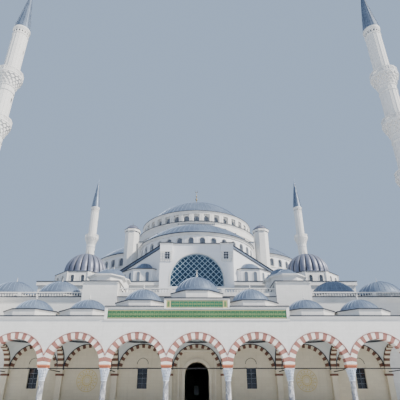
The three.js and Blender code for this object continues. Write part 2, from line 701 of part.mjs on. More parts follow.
function makeMinaret() {
  const lower = minaretBaseHalf;
  const parts = [box(-lower, lower, -lower, lower, 0, minaretBaseTop)];
  const neck = minaretRadius + 0.25;
  const height = minaretShoulder - minaretBaseTop + 0.2;
  const shoulder = new THREE.CylinderGeometry(neck * Math.SQRT2, lower * Math.SQRT2, height, 4);
  parts.push(shoulder.rotateX(Math.PI / 2).rotateZ(Math.PI / 4).translate(0, 0, minaretShoulder - height / 2));
  const shaft = [[0, minaretBaseTop], [minaretRadius, minaretBaseTop]];
  balconyFloors.forEach((z, i) => {
    const below = i === 0 ? minaretRadius : minaretRadius - 0.05 * i;
    const above = i === 2 ? minaretUpperRadius : below - 0.05;
    shaft.push([below, z - 4], [balconyRadius - 0.15, z - 0.3], [balconyRadius, z], [balconyRadius, z + 1.4],
      [balconyRadius - 0.3, z + 0.2], [above, z + 0.2]);
  });
  shaft.push([minaretUpperRadius, spireBottom - 0.8], [minaretUpperRadius + 0.3, spireBottom - 0.4],
    [minaretUpperRadius + 0.3, spireBottom], [0, spireBottom]);
  parts.push(revolve(shaft, 8));
  return join(...parts);
}

function makeSpire() {
  const z = spireBottom + gap;
  const cone = revolve([[0, z], [minaretUpperRadius + 0.2, z], [0.25, spireTop - 3.6], [0, spireTop - 3.5]], 10);
  return join(cone, finial(spireTop - 3.8, 0.3, 3.8));
}

const minaret = makeMinaret();
const spire = makeSpire();
[['front_right', minaretFrontX, minaretFrontY], ['back_right', minaretBackX + gap, minaretBackY],
  ['back_left', -minaretBackX - gap, minaretBackY],
  ['front_left', -minaretFrontX, minaretFrontY]].forEach(([name, x, y]) => {
  addPiece(`${name}_minaret`, minaret, stone, x, y);
  addPiece(`${name}_spire`, spire, lead, x, y);
});

export default building;
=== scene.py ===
import bpy
import bmesh
from math import acos, asin, atan2, cos, hypot, pi, radians, sin, sqrt
from mathutils import Matrix, Vector


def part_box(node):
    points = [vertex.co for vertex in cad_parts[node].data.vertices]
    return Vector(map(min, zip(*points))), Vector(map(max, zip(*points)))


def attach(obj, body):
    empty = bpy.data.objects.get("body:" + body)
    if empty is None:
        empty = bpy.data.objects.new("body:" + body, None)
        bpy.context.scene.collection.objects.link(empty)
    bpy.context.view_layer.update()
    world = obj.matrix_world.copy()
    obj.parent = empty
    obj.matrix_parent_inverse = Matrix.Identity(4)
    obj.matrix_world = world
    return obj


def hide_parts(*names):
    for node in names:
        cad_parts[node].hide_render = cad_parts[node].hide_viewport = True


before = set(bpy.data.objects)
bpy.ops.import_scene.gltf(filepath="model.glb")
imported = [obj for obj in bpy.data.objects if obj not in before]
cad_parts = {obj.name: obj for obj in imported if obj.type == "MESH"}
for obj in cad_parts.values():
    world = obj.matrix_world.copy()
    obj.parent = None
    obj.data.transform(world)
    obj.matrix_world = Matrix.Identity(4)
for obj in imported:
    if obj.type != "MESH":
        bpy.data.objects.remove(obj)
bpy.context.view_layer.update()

# Lengths below are real metres of the building, with the dome's axis at x = y = 0: the model is 1:10
scaleDown = 0.1
domeLow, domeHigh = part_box("main_dome")
domeY = (domeLow[1] + domeHigh[1]) / 2
sides = {"front": 0, "right": pi / 2, "back": pi, "left": -pi / 2}


# Materials

class Paint:
    # A material whose tones come from noise in the object's own coordinates
    def __init__(self, name):
        self.mat = bpy.data.materials.new(name)
        self.mat.use_nodes = True
        tree = self.mat.node_tree
        self.nodes, self.links, self.bsdf = tree.nodes, tree.links, tree.nodes["Principled BSDF"]
        self.coords = self.make("TexCoord").outputs["Object"]

    def feed(self, node, inputs):
        # Sets numbers and colours on a node's sockets, or links other nodes' outputs to them
        for name, value in inputs.items():
            socket = node.inputs[name.replace("_", " ")]
            if isinstance(value, tuple):
                socket.default_value = (*value, 1) if socket.type == "RGBA" else value
            elif isinstance(value, (int, float)):
                socket.default_value = value
            else:
                self.links.new(value, socket)

    def make(self, kind, **inputs):
        node = self.nodes.new("ShaderNode" + kind)
        self.feed(node, inputs)
        return node

    def noise(self, scale, detail=4, rough=0.55, stretch=(1, 1, 1)):
        source = self.coords
        if stretch != (1, 1, 1):
            source = self.make("Mapping", Vector=source, Scale=stretch).outputs["Vector"]
        return self.make("TexNoise", Vector=source, Scale=scale, Detail=detail,
                         Roughness=rough).outputs["Fac"]

    def ramp(self, source, low, high):
        node = self.make("MapRange", Value=source, From_Min=low, From_Max=high)
        node.interpolation_type = "SMOOTHSTEP"
        return node.outputs["Result"]

    def maths(self, operation, a, b=0.5):
        node = self.nodes.new("ShaderNodeMath")
        node.operation = operation
        for socket, value in zip(node.inputs, (a, b)):
            if isinstance(value, (int, float)):
                socket.default_value = value
            else:
                self.links.new(value, socket)
        return node.outputs[0]

    def total(self, *shares):
        # The sum of (output, weight) pairs
        parts = [part if weight == 1 else self.maths("MULTIPLY", part, weight) for part, weight in shares]
        whole = parts[0]
        for part in parts[1:]:
            whole = self.maths("ADD", whole, part)
        return whole

    def mix(self, factor, a, b):
        node = self.nodes.new("ShaderNodeMix")
        node.data_type = "RGBA"
        self.feed(node, {"Factor": factor, "A": a, "B": b})
        return node.outputs["Result"]

    def finish(self, heights=(), strength=0.1, distance=0.002, **inputs):
        self.feed(self.bsdf, inputs)
        if heights:
            bump = self.make("Bump", Height=self.total(*heights), Strength=strength, Distance=distance)
            self.links.new(bump.outputs["Normal"], self.bsdf.inputs["Normal"])
        return self.mat


def coursedStone(name, pale, dark, joint, course=0.052, block=0.13, jointShare=0.35, porchWarmLight=None):
    paint = Paint(name)
    place = paint.make("SeparateXYZ", Vector=paint.coords).outputs
    normal = paint.make("SeparateXYZ", Vector=paint.make("NewGeometry").outputs["Normal"]).outputs
    # 0 on walls, 1 on what faces the sky
    up = paint.ramp(normal["Z"], 0.35, 0.6)
    sideways = paint.maths("GREATER_THAN", paint.maths("ABSOLUTE", normal["X"]), 0.7)
    along = paint.make("Mix", Factor=sideways, A=place["X"], B=place["Y"]).outputs["Result"]
    flat = paint.make("CombineXYZ", X=along, Y=place["Z"]).outputs[0]
    bricks = paint.make("TexBrick", Vector=flat, Scale=1, Brick_Width=block, Row_Height=course,
                        Mortar_Size=0.0012,
                        Mortar_Smooth=0.3, Bias=0, Color1=(0, 0, 0), Color2=(1, 1, 1),
                        Mortar=(0.5, 0.5, 0.5)).outputs
    streak = paint.ramp(paint.noise(2.2, 5, stretch=(9, 9, 0.7)), 0.5, 0.75)
    tone = paint.total((bricks["Color"], 0.28), (paint.noise(1.6, 5), 0.5), (streak, 0.3))
    colour = paint.mix(tone, pale, dark)
    if porchWarmLight:
        # Up to the vaults the wall behind the portico is painted warm beige: warm reflected light in the
        # portico's shade
        low = paint.maths("LESS_THAN", place["Z"], 1.36)
        inside = paint.maths("LESS_THAN", paint.maths("ABSOLUTE", place["X"]), 3.54)
        colour = paint.mix(paint.maths("MULTIPLY", low, inside), colour, paint.mix(tone, *porchWarmLight))
    colour = paint.mix(paint.maths("MULTIPLY", bricks["Fac"], jointShare), colour, joint)
    sheet = paint.mix(paint.noise(3.5, 6), (0.11, 0.145, 0.205), (0.18, 0.225, 0.30))
    return paint.finish([(bricks["Fac"], -1.0), (paint.noise(60, 3), 0.35)], 0.35, 0.004,
                        Base_Color=paint.mix(up, colour, sheet), Roughness=0.75)


def leadSheet(name, pale, dark, seamDark):
    paint = Paint(name)
    cloud = paint.noise(2.2, 6)
    spots = paint.noise(14, 5, 0.65)
    wash = paint.ramp(paint.noise(3, 4, stretch=(6, 6, 1.2)), 0.52, 0.72)
    colour = paint.mix(paint.ramp(paint.total((cloud, 0.7), (spots, 0.35)), 0.3, 0.75), pale, dark)
    colour = paint.mix(paint.maths("MULTIPLY", wash, 0.35), colour, seamDark)
    roughness = paint.maths("ADD", paint.maths("MULTIPLY", spots, 0.25), 0.32)
    return paint.finish([(cloud, 1), (spots, 0.4)], 0.25, 0.006, Base_Color=colour, Metallic=0.25,
                        Roughness=roughness)


def mottledMarble(name, pale, dark, vein, scale, rough):
    paint = Paint(name)
    fine = paint.noise(scale * 5, 5, 0.7)
    lines = paint.make("TexWave", Vector=paint.coords, Scale=scale * 0.35, Distortion=14,
                       Detail=4).outputs["Fac"]
    colour = paint.mix(paint.ramp(paint.noise(scale, 8, 0.7), 0.38, 0.62), pale, dark)
    colour = paint.mix(paint.ramp(lines, 0.82, 0.98), colour, vein)
    colour = paint.mix(paint.maths("MULTIPLY", fine, 0.25), colour, dark)
    return paint.finish([(fine, 1)], 0.08, 0.002, Base_Color=colour, Roughness=rough)


def blockStone(name, pale, dark, rough=0.7):
    # Stone of single cut blocks: voussoirs, mouldings and rails
    paint = Paint(name)
    cloud = paint.noise(3.2, 6)
    grain = paint.noise(75, 3)
    tone = paint.ramp(paint.total((cloud, 0.8), (grain, 0.25)), 0.3, 0.8)
    return paint.finish([(cloud, 1), (grain, 0.5)], 0.2, 0.004, Base_Color=paint.mix(tone, pale, dark),
                        Roughness=rough)


def metalFinish(name, pale, dark, metallic, rough):
    paint = Paint(name)
    cloud = paint.noise(20, 5)
    roughness = paint.maths("ADD", paint.maths("MULTIPLY", cloud, 0.2), rough)
    return paint.finish([(cloud, 1)], Base_Color=paint.mix(cloud, pale, dark), Metallic=metallic,
                        Roughness=roughness)


def glazedTile(name, pale, dark):
    paint = Paint(name)
    speckle = paint.noise(45, 4, 0.7)
    tone = paint.ramp(paint.total((paint.noise(6, 5), 0.5), (speckle, 0.5)), 0.35, 0.65)
    return paint.finish([(speckle, 1)], Base_Color=paint.mix(tone, pale, dark), Roughness=0.3)


def windowGlass(name, pale, dark):
    paint = Paint(name)
    cloud = paint.noise(7, 3)
    return paint.finish([(cloud, 1)], 0.04, Base_Color=paint.mix(cloud, pale, dark), Roughness=0.12,
                        Specular_IOR_Level=0.7)


wallStone = coursedStone("wallStone", (0.86, 0.84, 0.80), (0.70, 0.68, 0.64), (0.48, 0.46, 0.43))
# The front wall, with painted warm reflected light where the portico shades it
frontStone = coursedStone("frontStone", (0.86, 0.84, 0.80), (0.70, 0.68, 0.64), (0.45, 0.40, 0.32),
                          porchWarmLight=((0.80, 0.72, 0.54), (0.64, 0.56, 0.40)))
panelStone = coursedStone("panelStone", (0.86, 0.86, 0.86), (0.74, 0.75, 0.77), (0.60, 0.60, 0.61),
                          course=0.09, block=0.2, jointShare=0.2)
vaultPaint = blockStone("vaultPaint", (0.80, 0.82, 0.78), (0.62, 0.66, 0.64))
# The cream stone as it looks in the portico: shade and warm reflected light painted into its colour
porchShadeBeige = blockStone("porchShadeBeige", (0.82, 0.74, 0.56), (0.66, 0.58, 0.43))
# The red arch stone as it looks in the portico's shade: a painted shaded copy of the red
shadedRedStone = blockStone("shadedRedStone", (0.19, 0.085, 0.05), (0.12, 0.055, 0.035))
# Near-black for lead edges and the painted outlines in the vaults, and for painted shade: lines of shade
# along cornices and rakes, corbel hollows and melon-dome grooves
blackEdgeAndShade = blockStone("blackEdgeAndShade", (0.040, 0.046, 0.062), (0.022, 0.026, 0.036), 0.5)
trimStone = blockStone("trimStone", (0.86, 0.84, 0.79), (0.70, 0.67, 0.62))
floorStone = blockStone("floorStone", (0.62, 0.60, 0.57), (0.50, 0.48, 0.46), 0.5)
redStone = blockStone("redStone", (0.40, 0.175, 0.135), (0.31, 0.13, 0.10))
frameGrey = blockStone("frameGrey", (0.16, 0.18, 0.21), (0.11, 0.13, 0.15), 0.5)
latticeStone = blockStone("latticeStone", (0.46, 0.58, 0.66), (0.36, 0.48, 0.57), 0.5)
impostStone = blockStone("impostStone", (0.58, 0.20, 0.10), (0.44, 0.15, 0.08))
creamStone = blockStone("creamStone", (0.88, 0.82, 0.74), (0.78, 0.70, 0.62))
paleLead = leadSheet("paleLead", (0.19, 0.24, 0.32), (0.105, 0.14, 0.205), (0.06, 0.085, 0.13))
# Paler lead for the raised seam rolls: a painted highlight along each seam
seamHighlightLead = leadSheet("seamHighlightLead", (0.33, 0.41, 0.54), (0.23, 0.30, 0.42), (0.16, 0.21, 0.30))
darkLead = leadSheet("darkLead", (0.22, 0.235, 0.30), (0.14, 0.15, 0.205), (0.09, 0.095, 0.13))
shaftMarble = mottledMarble("shaftMarble", (0.50, 0.50, 0.50), (0.20, 0.21, 0.24), (0.72, 0.71, 0.70), 14,
                            0.28)
capitalMarble = mottledMarble("capitalMarble", (0.74, 0.78, 0.84), (0.56, 0.62, 0.72), (0.80, 0.82, 0.86),
                              9, 0.45)
capitalShade = blockStone("capitalShade", (0.24, 0.28, 0.35), (0.17, 0.20, 0.27), 0.6)
ironBlack = metalFinish("ironBlack", (0.030, 0.030, 0.033), (0.014, 0.014, 0.016), 0.6, 0.4)
giltMetal = metalFinish("giltMetal", (0.34, 0.29, 0.20), (0.20, 0.17, 0.12), 0.8, 0.35)
greenTile = glazedTile("greenTile", (0.050, 0.165, 0.078), (0.030, 0.115, 0.055))
tealTile = glazedTile("tealTile", (0.012, 0.18, 0.115), (0.007, 0.125, 0.080))
reliefGreen = blockStone("reliefGreen", (0.17, 0.27, 0.11), (0.11, 0.20, 0.08), 0.45)
fadedGilt = blockStone("fadedGilt", (0.74, 0.60, 0.26), (0.58, 0.47, 0.22), 0.5)
paneGlass = windowGlass("paneGlass", (0.27, 0.30, 0.35), (0.17, 0.20, 0.25))
blackGlass = windowGlass("blackGlass", (0.012, 0.012, 0.014), (0.006, 0.006, 0.008))
latticeGlass = windowGlass("latticeGlass", (0.010, 0.060, 0.115), (0.004, 0.028, 0.062))
print("materials made")


# Mesh helpers: a sample is a small mesh in real metres that is stamped where it is wanted

def emptyMesh():
    return bmesh.new()


def asSample(bm):
    mesh = bpy.data.meshes.new("sample")
    bm.to_mesh(mesh)
    bm.free()
    return mesh


def stamp(bm, sample, place):
    sample.transform(place)
    bm.from_mesh(sample)
    sample.transform(place.inverted())


def at(x=0, y=0, z=0, turn=0):
    return Matrix.Translation((x, y, z)) @ Matrix.Rotation(turn, 4, "Z")


def around(turn, radius, z=0, x=0, y=0):
    # Where a panel that faces -Y stands on a ring, turned from the front
    return Matrix.Translation((x, y, z)) @ Matrix.Rotation(turn, 4,
                                                           "Z") @ Matrix.Translation((0, -radius, 0))


def setMaterial(faces, index):
    for face in faces:
        face.material_index = index


def addBox(bm, x0, x1, y0, y1, z0, z1, mat=0, bevel=0):
    place = Matrix.Translation(((x0 + x1) / 2, (y0 + y1) / 2, (z0 + z1) / 2))
    place = place @ Matrix.Diagonal((x1 - x0, y1 - y0, z1 - z0, 1))
    made = bmesh.ops.create_cube(bm, size=1, matrix=place)
    faces = {face for vert in made["verts"] for face in vert.link_faces}
    setMaterial(faces, mat)
    if bevel:
        edges = {edge for face in faces for edge in face.edges}
        bmesh.ops.bevel(bm, geom=list(edges), offset=bevel, offset_type="OFFSET", affect="EDGES",
                        segments=1, profile=0.5, material=-1)


def addPlate(bm, outline, y0, y1, mat=0):
    # A closed outline in X and Z, extruded from y0 to y1
    verts = [bm.verts.new((x, y0, z)) for x, z in outline]
    face = bm.faces.new(verts)
    face.material_index = mat
    pushed = bmesh.ops.extrude_face_region(bm, geom=[face], use_keep_orig=True)
    moved = [item for item in pushed["geom"] if isinstance(item, bmesh.types.BMVert)]
    bmesh.ops.translate(bm, vec=(0, y1 - y0, 0), verts=moved)
    setMaterial({f for v in moved for f in v.link_faces}, mat)


def addTurned(bm, profile, steps, mat=0, x=0, y=0, start=0):
    # A profile of (radius, height) points spun about a vertical axis
    verts = [bm.verts.new((r * sin(start), -r * cos(start), z)) for r, z in profile]
    edges = [bm.edges.new(pair) for pair in zip(verts, verts[1:])]
    bmesh.ops.spin(bm, geom=verts + edges, cent=(0, 0, 0), axis=(0, 0, 1), dvec=(0, 0, 0), angle=2 * pi,
                   steps=steps, use_merge=True)
    touched = set(verts)
    queue = list(verts)
    while queue:
        for edge in queue.pop().link_edges:
            for vert in edge.verts:
                if vert not in touched:
                    touched.add(vert)
                    queue.append(vert)
    faces = {face for vert in touched for face in vert.link_faces}
    setMaterial(faces, mat)
    bmesh.ops.remove_doubles(bm, verts=list(touched), dist=0.0005)
    live = [vert for vert in touched if vert.is_valid]
    bmesh.ops.translate(bm, vec=(x, y, 0), verts=live)


def addRing(bm, inner, outer, z0, z1, steps, mat=0, x=0, y=0):
    # A plain ring of square section
    profile = [(inner, z0), (outer, z0), (outer, z1), (inner, z1), (inner, z0)]
    addTurned(bm, profile, steps, mat, x, y)


def turnedSample(profile, steps):
    bm = emptyMesh()
    addTurned(bm, profile, steps)
    return asSample(bm)


def addPost(bm, x, half, y0, y1, z0, z1, mat=0, bevel=0):
    # A box given by its middle and half width along X
    addBox(bm, x - half, x + half, y0, y1, z0, z1, mat, bevel)


def plateSample(outline, y0, y1, mat=0):
    bm = emptyMesh()
    addPlate(bm, outline, y0, y1, mat)
    return asSample(bm)


def boxSample(x0, x1, y0, y1, z0, z1, mat=0, bevel=0):
    bm = emptyMesh()
    addBox(bm, x0, x1, y0, y1, z0, z1, mat, bevel)
    return asSample(bm)


def archLine(half, sill, spring, steps=12):
    # Up the right jamb, over the head and down the left jamb
    angles = [pi * i / steps for i in range(steps + 1)]
    head = [(half * cos(a), spring + half * sin(a)) for a in angles]
    return [(half, sill)] + head + [(-half, sill)]


def panelEdge(half, bottom, spring, top, steps):
    # The panel's own edge, with as many points as the arch line inside it
    line = [(half, bottom)]
    for i in range(steps + 1):
        share = i / steps
        if share < 0.25:
            line.append((half, spring + (top - spring) * share * 4))
        elif share > 0.75:
            line.append((-half, spring + (top - spring) * (1 - share) * 4))
        else:
            line.append((half - (share - 0.25) * 4 * half, top))
    return line + [(-half, bottom)]


def loopOf(bm, line, y):
    verts = [bm.verts.new((x, y, z)) for x, z in line]
    edges = [bm.edges.new((verts[i], verts[(i + 1) % len(verts)])) for i in range(len(verts))]
    return verts, edges


def addWindowWall(bm, wall, opening, thick, recess, steps=12, mats=(0, 1)):
    # A block of wall (half, bottom, top) with an arched recess (half, sill, spring) closed by a pane
    half, bottom, top = wall
    inner = archLine(*opening, steps)
    outer = panelEdge(half, bottom, opening[2], top, steps)
    innerVerts, innerEdges = loopOf(bm, inner, 0)
    outerVerts, outerEdges = loopOf(bm, outer, 0)
    bmesh.ops.bridge_loops(bm, edges=innerEdges + outerEdges)
    for edges, depth, mat in ((innerEdges, recess, mats[1]), (outerEdges, thick, mats[0])):
        pushed = bmesh.ops.extrude_edge_only(bm, edges=edges)
        moved = [item for item in pushed["geom"] if isinstance(item, bmesh.types.BMVert)]
        bmesh.ops.translate(bm, vec=(0, depth, 0), verts=moved)
        rim = [item for item in pushed["geom"] if isinstance(item, bmesh.types.BMEdge)]
        rim = [edge for edge in rim if edge.verts[0] in moved and edge.verts[1] in moved]
        closed = bmesh.ops.contextual_create(bm, geom=rim)
        setMaterial(closed["faces"], mat)


def addArchBand(bm, inner, outer, sill, spring, y0, y1, mat=0, steps=14, tip=0):
    # A moulding of even width round an arched opening, open at its foot
    outside = archLine(outer, sill, spring, steps)
    inside = archLine(inner, sill, spring, steps)
    if tip:
        outside = [(x, z + tip * max(0, 1 - abs(x) / outer)) if z > spring else (x, z) for x, z in outside]
        inside = [(x, z + tip * max(0, 1 - abs(x) / inner)) if z > spring else (x, z) for x, z in inside]
    addPlate(bm, outside + inside[::-1], y0, y1, mat)


def voussoirSample(inner, outer, y0, y1, count, mats, bevel=0.02, limit=99):
    # An arch ring of alternating blocks, from springing to springing round (0, 0), kept within +-limit
    bm = emptyMesh()
    step = pi / count
    for k in range(count):
        angles = [k * step, (k + 0.5) * step, (k + 1) * step]
        outline = [(outer * cos(a), outer * sin(a)) for a in angles]
        outline += [(inner * cos(a), inner * sin(a)) for a in angles[::-1]]
        outline = [(max(-limit, min(limit, x)), z) for x, z in outline]
        addPlate(bm, outline, y0, y1, mats[k % 2])
    if bevel:
        bmesh.ops.bevel(bm, geom=list(bm.edges), offset=bevel, offset_type="OFFSET", affect="EDGES",
                        segments=1, profile=0.5, material=-1)
    return asSample(bm)


def capLine(radius, rise, z, steps):
    # A spherical cap's outline, from its rim to its top on the axis
    sphere = (radius * radius + rise * rise) / (2 * rise)
    middle = z + rise - sphere
    low = asin((z - middle) / sphere)
    points = []
    for i in range(steps + 1):
        angle = low + (pi / 2 - low) * i / steps
        points.append((0.0 if i == steps else sphere * cos(angle), middle + sphere * sin(angle)))
    return points


def addLeadCap(bm, radius, rise, z, seams, steps=10, rib=0.07, x=0, y=0, mat=0, ribMat=0, lip=0.18):
    # A lead-covered cap, open below: a rolled rim, a thin shell and raised seams running up to the crown
    arc = capLine(radius, rise, z, steps)
    rim = [(radius - 0.25, z - 0.02), (radius + 0.03, z - 0.02), (radius + lip * 0.5, z + lip * 0.35),
           (radius, z + lip * 0.7)]
    inside = [(r, h - 0.12) for r, h in capLine(radius - 0.25, rise - 0.2, z, steps)[1:]]
    profile = rim + [point for point in arc if point[1] > z + lip * 0.75] + inside[::-1] + rim[:1]
    addTurned(bm, profile, seams * 2, mat, x, y)
    raised = [(r, h) for r, h in arc if r > 0.05 * radius and h > z + lip * 0.6]
    sphere = (radius * radius + rise * rise) / (2 * rise)
    middle = z + rise - sphere
    lifted = []
    for r, h in raised:
        share = (sphere + rib) / sphere
        lifted.append((r * share, middle + (h - middle) * share))
    sunk = [(r * 0.995, middle + (h - middle) * 0.995) for r, h in raised]
    strip = emptyMesh()
    addPlate(strip, lifted + sunk[::-1], -rib * 0.45, rib * 0.45, ribMat)
    seam = asSample(strip)
    for k in range(seams):
        stamp(bm, seam, at(x, y, 0, 2 * pi * (k + 0.5) / seams))


def addFinial(bm, x, y, z, height, radius, mat=0):
    # A turned stem with three balls under a thin crescent
    shape = [(0, -0.02), (1.0, -0.02), (0.9, 0.03), (0.28, 0.08), (0.25, 0.13), (0.85, 0.19), (1.0, 0.235),
             (0.85, 0.28),
             (0.24, 0.33), (0.22, 0.38), (0.62, 0.43), (0.7, 0.465), (0.62, 0.50), (0.18, 0.55),
             (0.16, 0.60),
             (0.38, 0.635), (0.42, 0.66), (0.38, 0.685), (0.10, 0.73), (0.07, 0.86), (0.0, 0.87)]
    addTurned(bm, [(r * radius, z + h * height) for r, h in shape], 14, mat, x, y)
    ring = emptyMesh()
    outer, inner = 0.075 * height, 0.062 * height
    lift = 0.012 * height
    points = [(outer * cos(a), outer * sin(a)) for a in [radians(-235 + 290 * i / 16) for i in range(17)]]
    back = [(inner * cos(a), lift + inner * sin(a)) for a in [radians(55 - 290 * i / 16) for i in range(17)]]
    addPlate(ring, points + back, -0.08 * radius - 0.02, 0.08 * radius + 0.02, mat)
    stamp(bm, asSample(ring), at(x, y, z + height * 0.925))


def arcBand(bm, inner, outer, start, y0, y1, mat=0, steps=32):
    # Part of a flat ring round (0, 0), from the start angle to its mirror image
    angles = [start + (pi - 2 * start) * i / steps for i in range(steps + 1)]
    outline = [(outer * cos(a), outer * sin(a)) for a in angles] + [(inner * cos(a),
                                                                     inner * sin(a)) for a in angles[::-1]]
    addPlate(bm, outline, y0, y1, mat)


def ringPlate(bm, outer, inner, y0, y1, mat):
    # A flat plate between two closed outlines of as many points
    outerVerts, outerEdges = loopOf(bm, outer, y0)
    innerVerts, innerEdges = loopOf(bm, inner, y0)
    made = bmesh.ops.bridge_loops(bm, edges=outerEdges + innerEdges)
    pushed = bmesh.ops.extrude_face_region(bm, geom=made["faces"], use_keep_orig=True)
    moved = [item for item in pushed["geom"] if isinstance(item, bmesh.types.BMVert)]
    bmesh.ops.translate(bm, vec=(0, y1 - y0, 0), verts=moved)
    setMaterial({f for v in moved + outerVerts + innerVerts for f in v.link_faces}, mat)


def hollowProfile(top, out, height):
    # A stone moulding that leans out in a hollow, as (out, height) points
    low = top - height
    return [(-0.3, low), (0.05, low), (0.07, low + 0.1), (out * 0.3, low + height * 0.4),
            (out * 0.75, low + height * 0.68), (out, top - 0.2), (out, top - 0.12), (-0.3, top - 0.12)]


def edgeProfile(top, out):
    # The thin lead sheet folded over a moulding's edge, coloured near-black so that it also paints the line
    # of shade along that edge
    return [(-0.3, top - 0.12), (out + 0.04, top - 0.14), (out + 0.07, top + 0.05), (out * 0.4, top + 0.08),
            (-0.3, top + 0.08)]


def addRun(bm, x0, x1, y, profile, mat):
    # A profile of (out, height) points carried along X, standing out towards -Y
    stamp(bm, plateSample(profile, x0, x1, mat), Matrix.Translation((0, y, 0)) @ Matrix.Rotation(-pi / 2, 4,
                                                                                                 "Z"))


def addCornice(bm, x0, x1, y, top, out, height, mats=(0, 1)):
    addRun(bm, x0, x1, y, hollowProfile(top, out, height), mats[0])
    addRun(bm, x0 - 0.03, x1 + 0.03, y, edgeProfile(top, out), mats[1])


def ringCornice(bm, radius, top, out, height, count, mats=(0, 1), x=0, y=0):
    # The same cornice round a drum; on an octagon the radius is measured to the middle of a side
    start = pi / 8 if count == 8 else 0.0
    corner = 1 / cos(start)
    for profile, mat in ((hollowProfile(top, out, height), mats[0]), (edgeProfile(top, out), mats[1])):
        points = [((radius + reach) * corner, z) for reach, z in profile]
        addTurned(bm, points + points[:1], count, mat, x, y, start=start)


def ringMoulding(bm, radius, z0, steps, sidesCount, mat=0, x=0, y=0, depth=0.4):
    profile = [(radius - depth, z0)]
    z = z0
    for height, out in steps:
        profile += [(radius + out, z), (radius + out, z + height)]
        z += height
    profile += [(radius - depth, z), (radius - depth, z0)]
    addTurned(bm, profile, sidesCount, mat, x, y)


def trimPast(bm, place, direction):
    # Cuts away what stands past a plane, and closes the cut
    geometry = bm.verts[:] + bm.edges[:] + bm.faces[:]
    made = bmesh.ops.bisect_plane(bm, geom=geometry, plane_co=place, plane_no=direction, clear_outer=True)
    edges = [item for item in made["geom_cut"] if isinstance(item, bmesh.types.BMEdge)]
    bmesh.ops.holes_fill(bm, edges=edges, sides=0)


def finishPiece(name, bm, mats, slot, replaces=(), sharp=32, turn=0, x=0, y=0):
    # Puts a piece in the frame: turned about the dome's axis, scaled to the model and riding on its body
    bmesh.ops.recalc_face_normals(bm, faces=bm.faces)
    place = Matrix.Translation((0, domeY, 0)) @ Matrix.Scale(scaleDown, 4) @ Matrix.Rotation(turn, 4, "Z")
    bmesh.ops.transform(bm, matrix=place @ Matrix.Translation((x, y, 0)), verts=bm.verts)
    mesh = bpy.data.meshes.new(name)
    bm.to_mesh(mesh)
    bm.free()
    mesh.shade_smooth()
    mesh.set_sharp_from_angle(angle=radians(sharp))
    for mat in mats:
        mesh.materials.append(mat)
    piece = bpy.data.objects.new(name, mesh)
    bpy.context.collection.objects.link(piece)
    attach(piece, "root")
    if replaces:
        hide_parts(*replaces)


def placeSample(name, sample, mats, slot, replaces=(), **place):
    bm = emptyMesh()
    stamp(bm, sample, at())
    finishPiece(name, bm, mats, slot, replaces, **place)


def dressNode(name, mat):
    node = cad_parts[name]
    node.data.materials.clear()
    node.data.materials.append(mat)


# Carried-over masses get their stone, with lead on whatever faces the sky
for name in ("hall_back_wall", "hall_right_wall", "hall_left_wall", "terrace_roof", "upper_walls",
             "upper_roof", "crossing"):
    dressNode(name, wallStone)
for part in ("left", "middle", "right"):
    dressNode(f"portico_arcade_{part}", wallStone)
for side in sides:
    dressNode(f"{side}_gable", panelStone)
    dressNode(f"{side}_buttress_block", wallStone)
dressNode("hall_front_wall", frontStone)
dressNode("ground_floor", floorStone)
print("masonry dressed")


# Portico

portico = {
    "bay": 9.9, "bays": 7, "front": -64.0, "wall": 1.1, "back": -54.0, "spring": 6.4, "radius": 4.2,
    "ring": 0.9,
    "blocks": 23, "columnY": -63.2, "middle": -58.45, "halfX": 4.45, "halfY": 4.0, "eye": 3.9, "floor": 0.5,
    "end": 35.4, "inner": 15.6, "centre": 5.6, "tops": (14.2, 15.8, 17.2),
    "drumTops": (15.6, 15.6, 17.1, 18.8),
    "capTops": (18.0, 18.0, 19.9, 22.2), "capRadii": (3.55, 3.55, 3.55, 4.2), "eave": 4.87, "apothem": 4.66,
    "deck": 13.6, "skirt": 0.25, "stepPost": 15.35, "centrePost": 5.42, "windows": (-29.7, -9.9, 9.9, 29.7),
    "window": (0.9, 3.3, 6.7), "rosettes": (-19.8, 19.8), "rosetteZ": 4.66, "rosetteRadius": 1.9,
    "rod": 6.07, "door": (2.2, 5.6), "lintel": 9.4, "seams": 28,
}
bands = {
    "low": (15.1, 13.71, 15.2), "high": (4.42, 15.5, 16.8), "ends": (4.44, 5.24), "star": (0.30, 0.17),
    "rows": ((14.7, 42, 14.45, 0.60), (4.1, 12, 16.15, 0.52)),
}
bayMiddles = [(i - 3) * portico["bay"] for i in range(portico["bays"])]
columnLines = [(i - 3.5) * portico["bay"] for i in range(portico["bays"] + 1)]
quarter = Matrix.Rotation(pi / 2, 4, "Z")


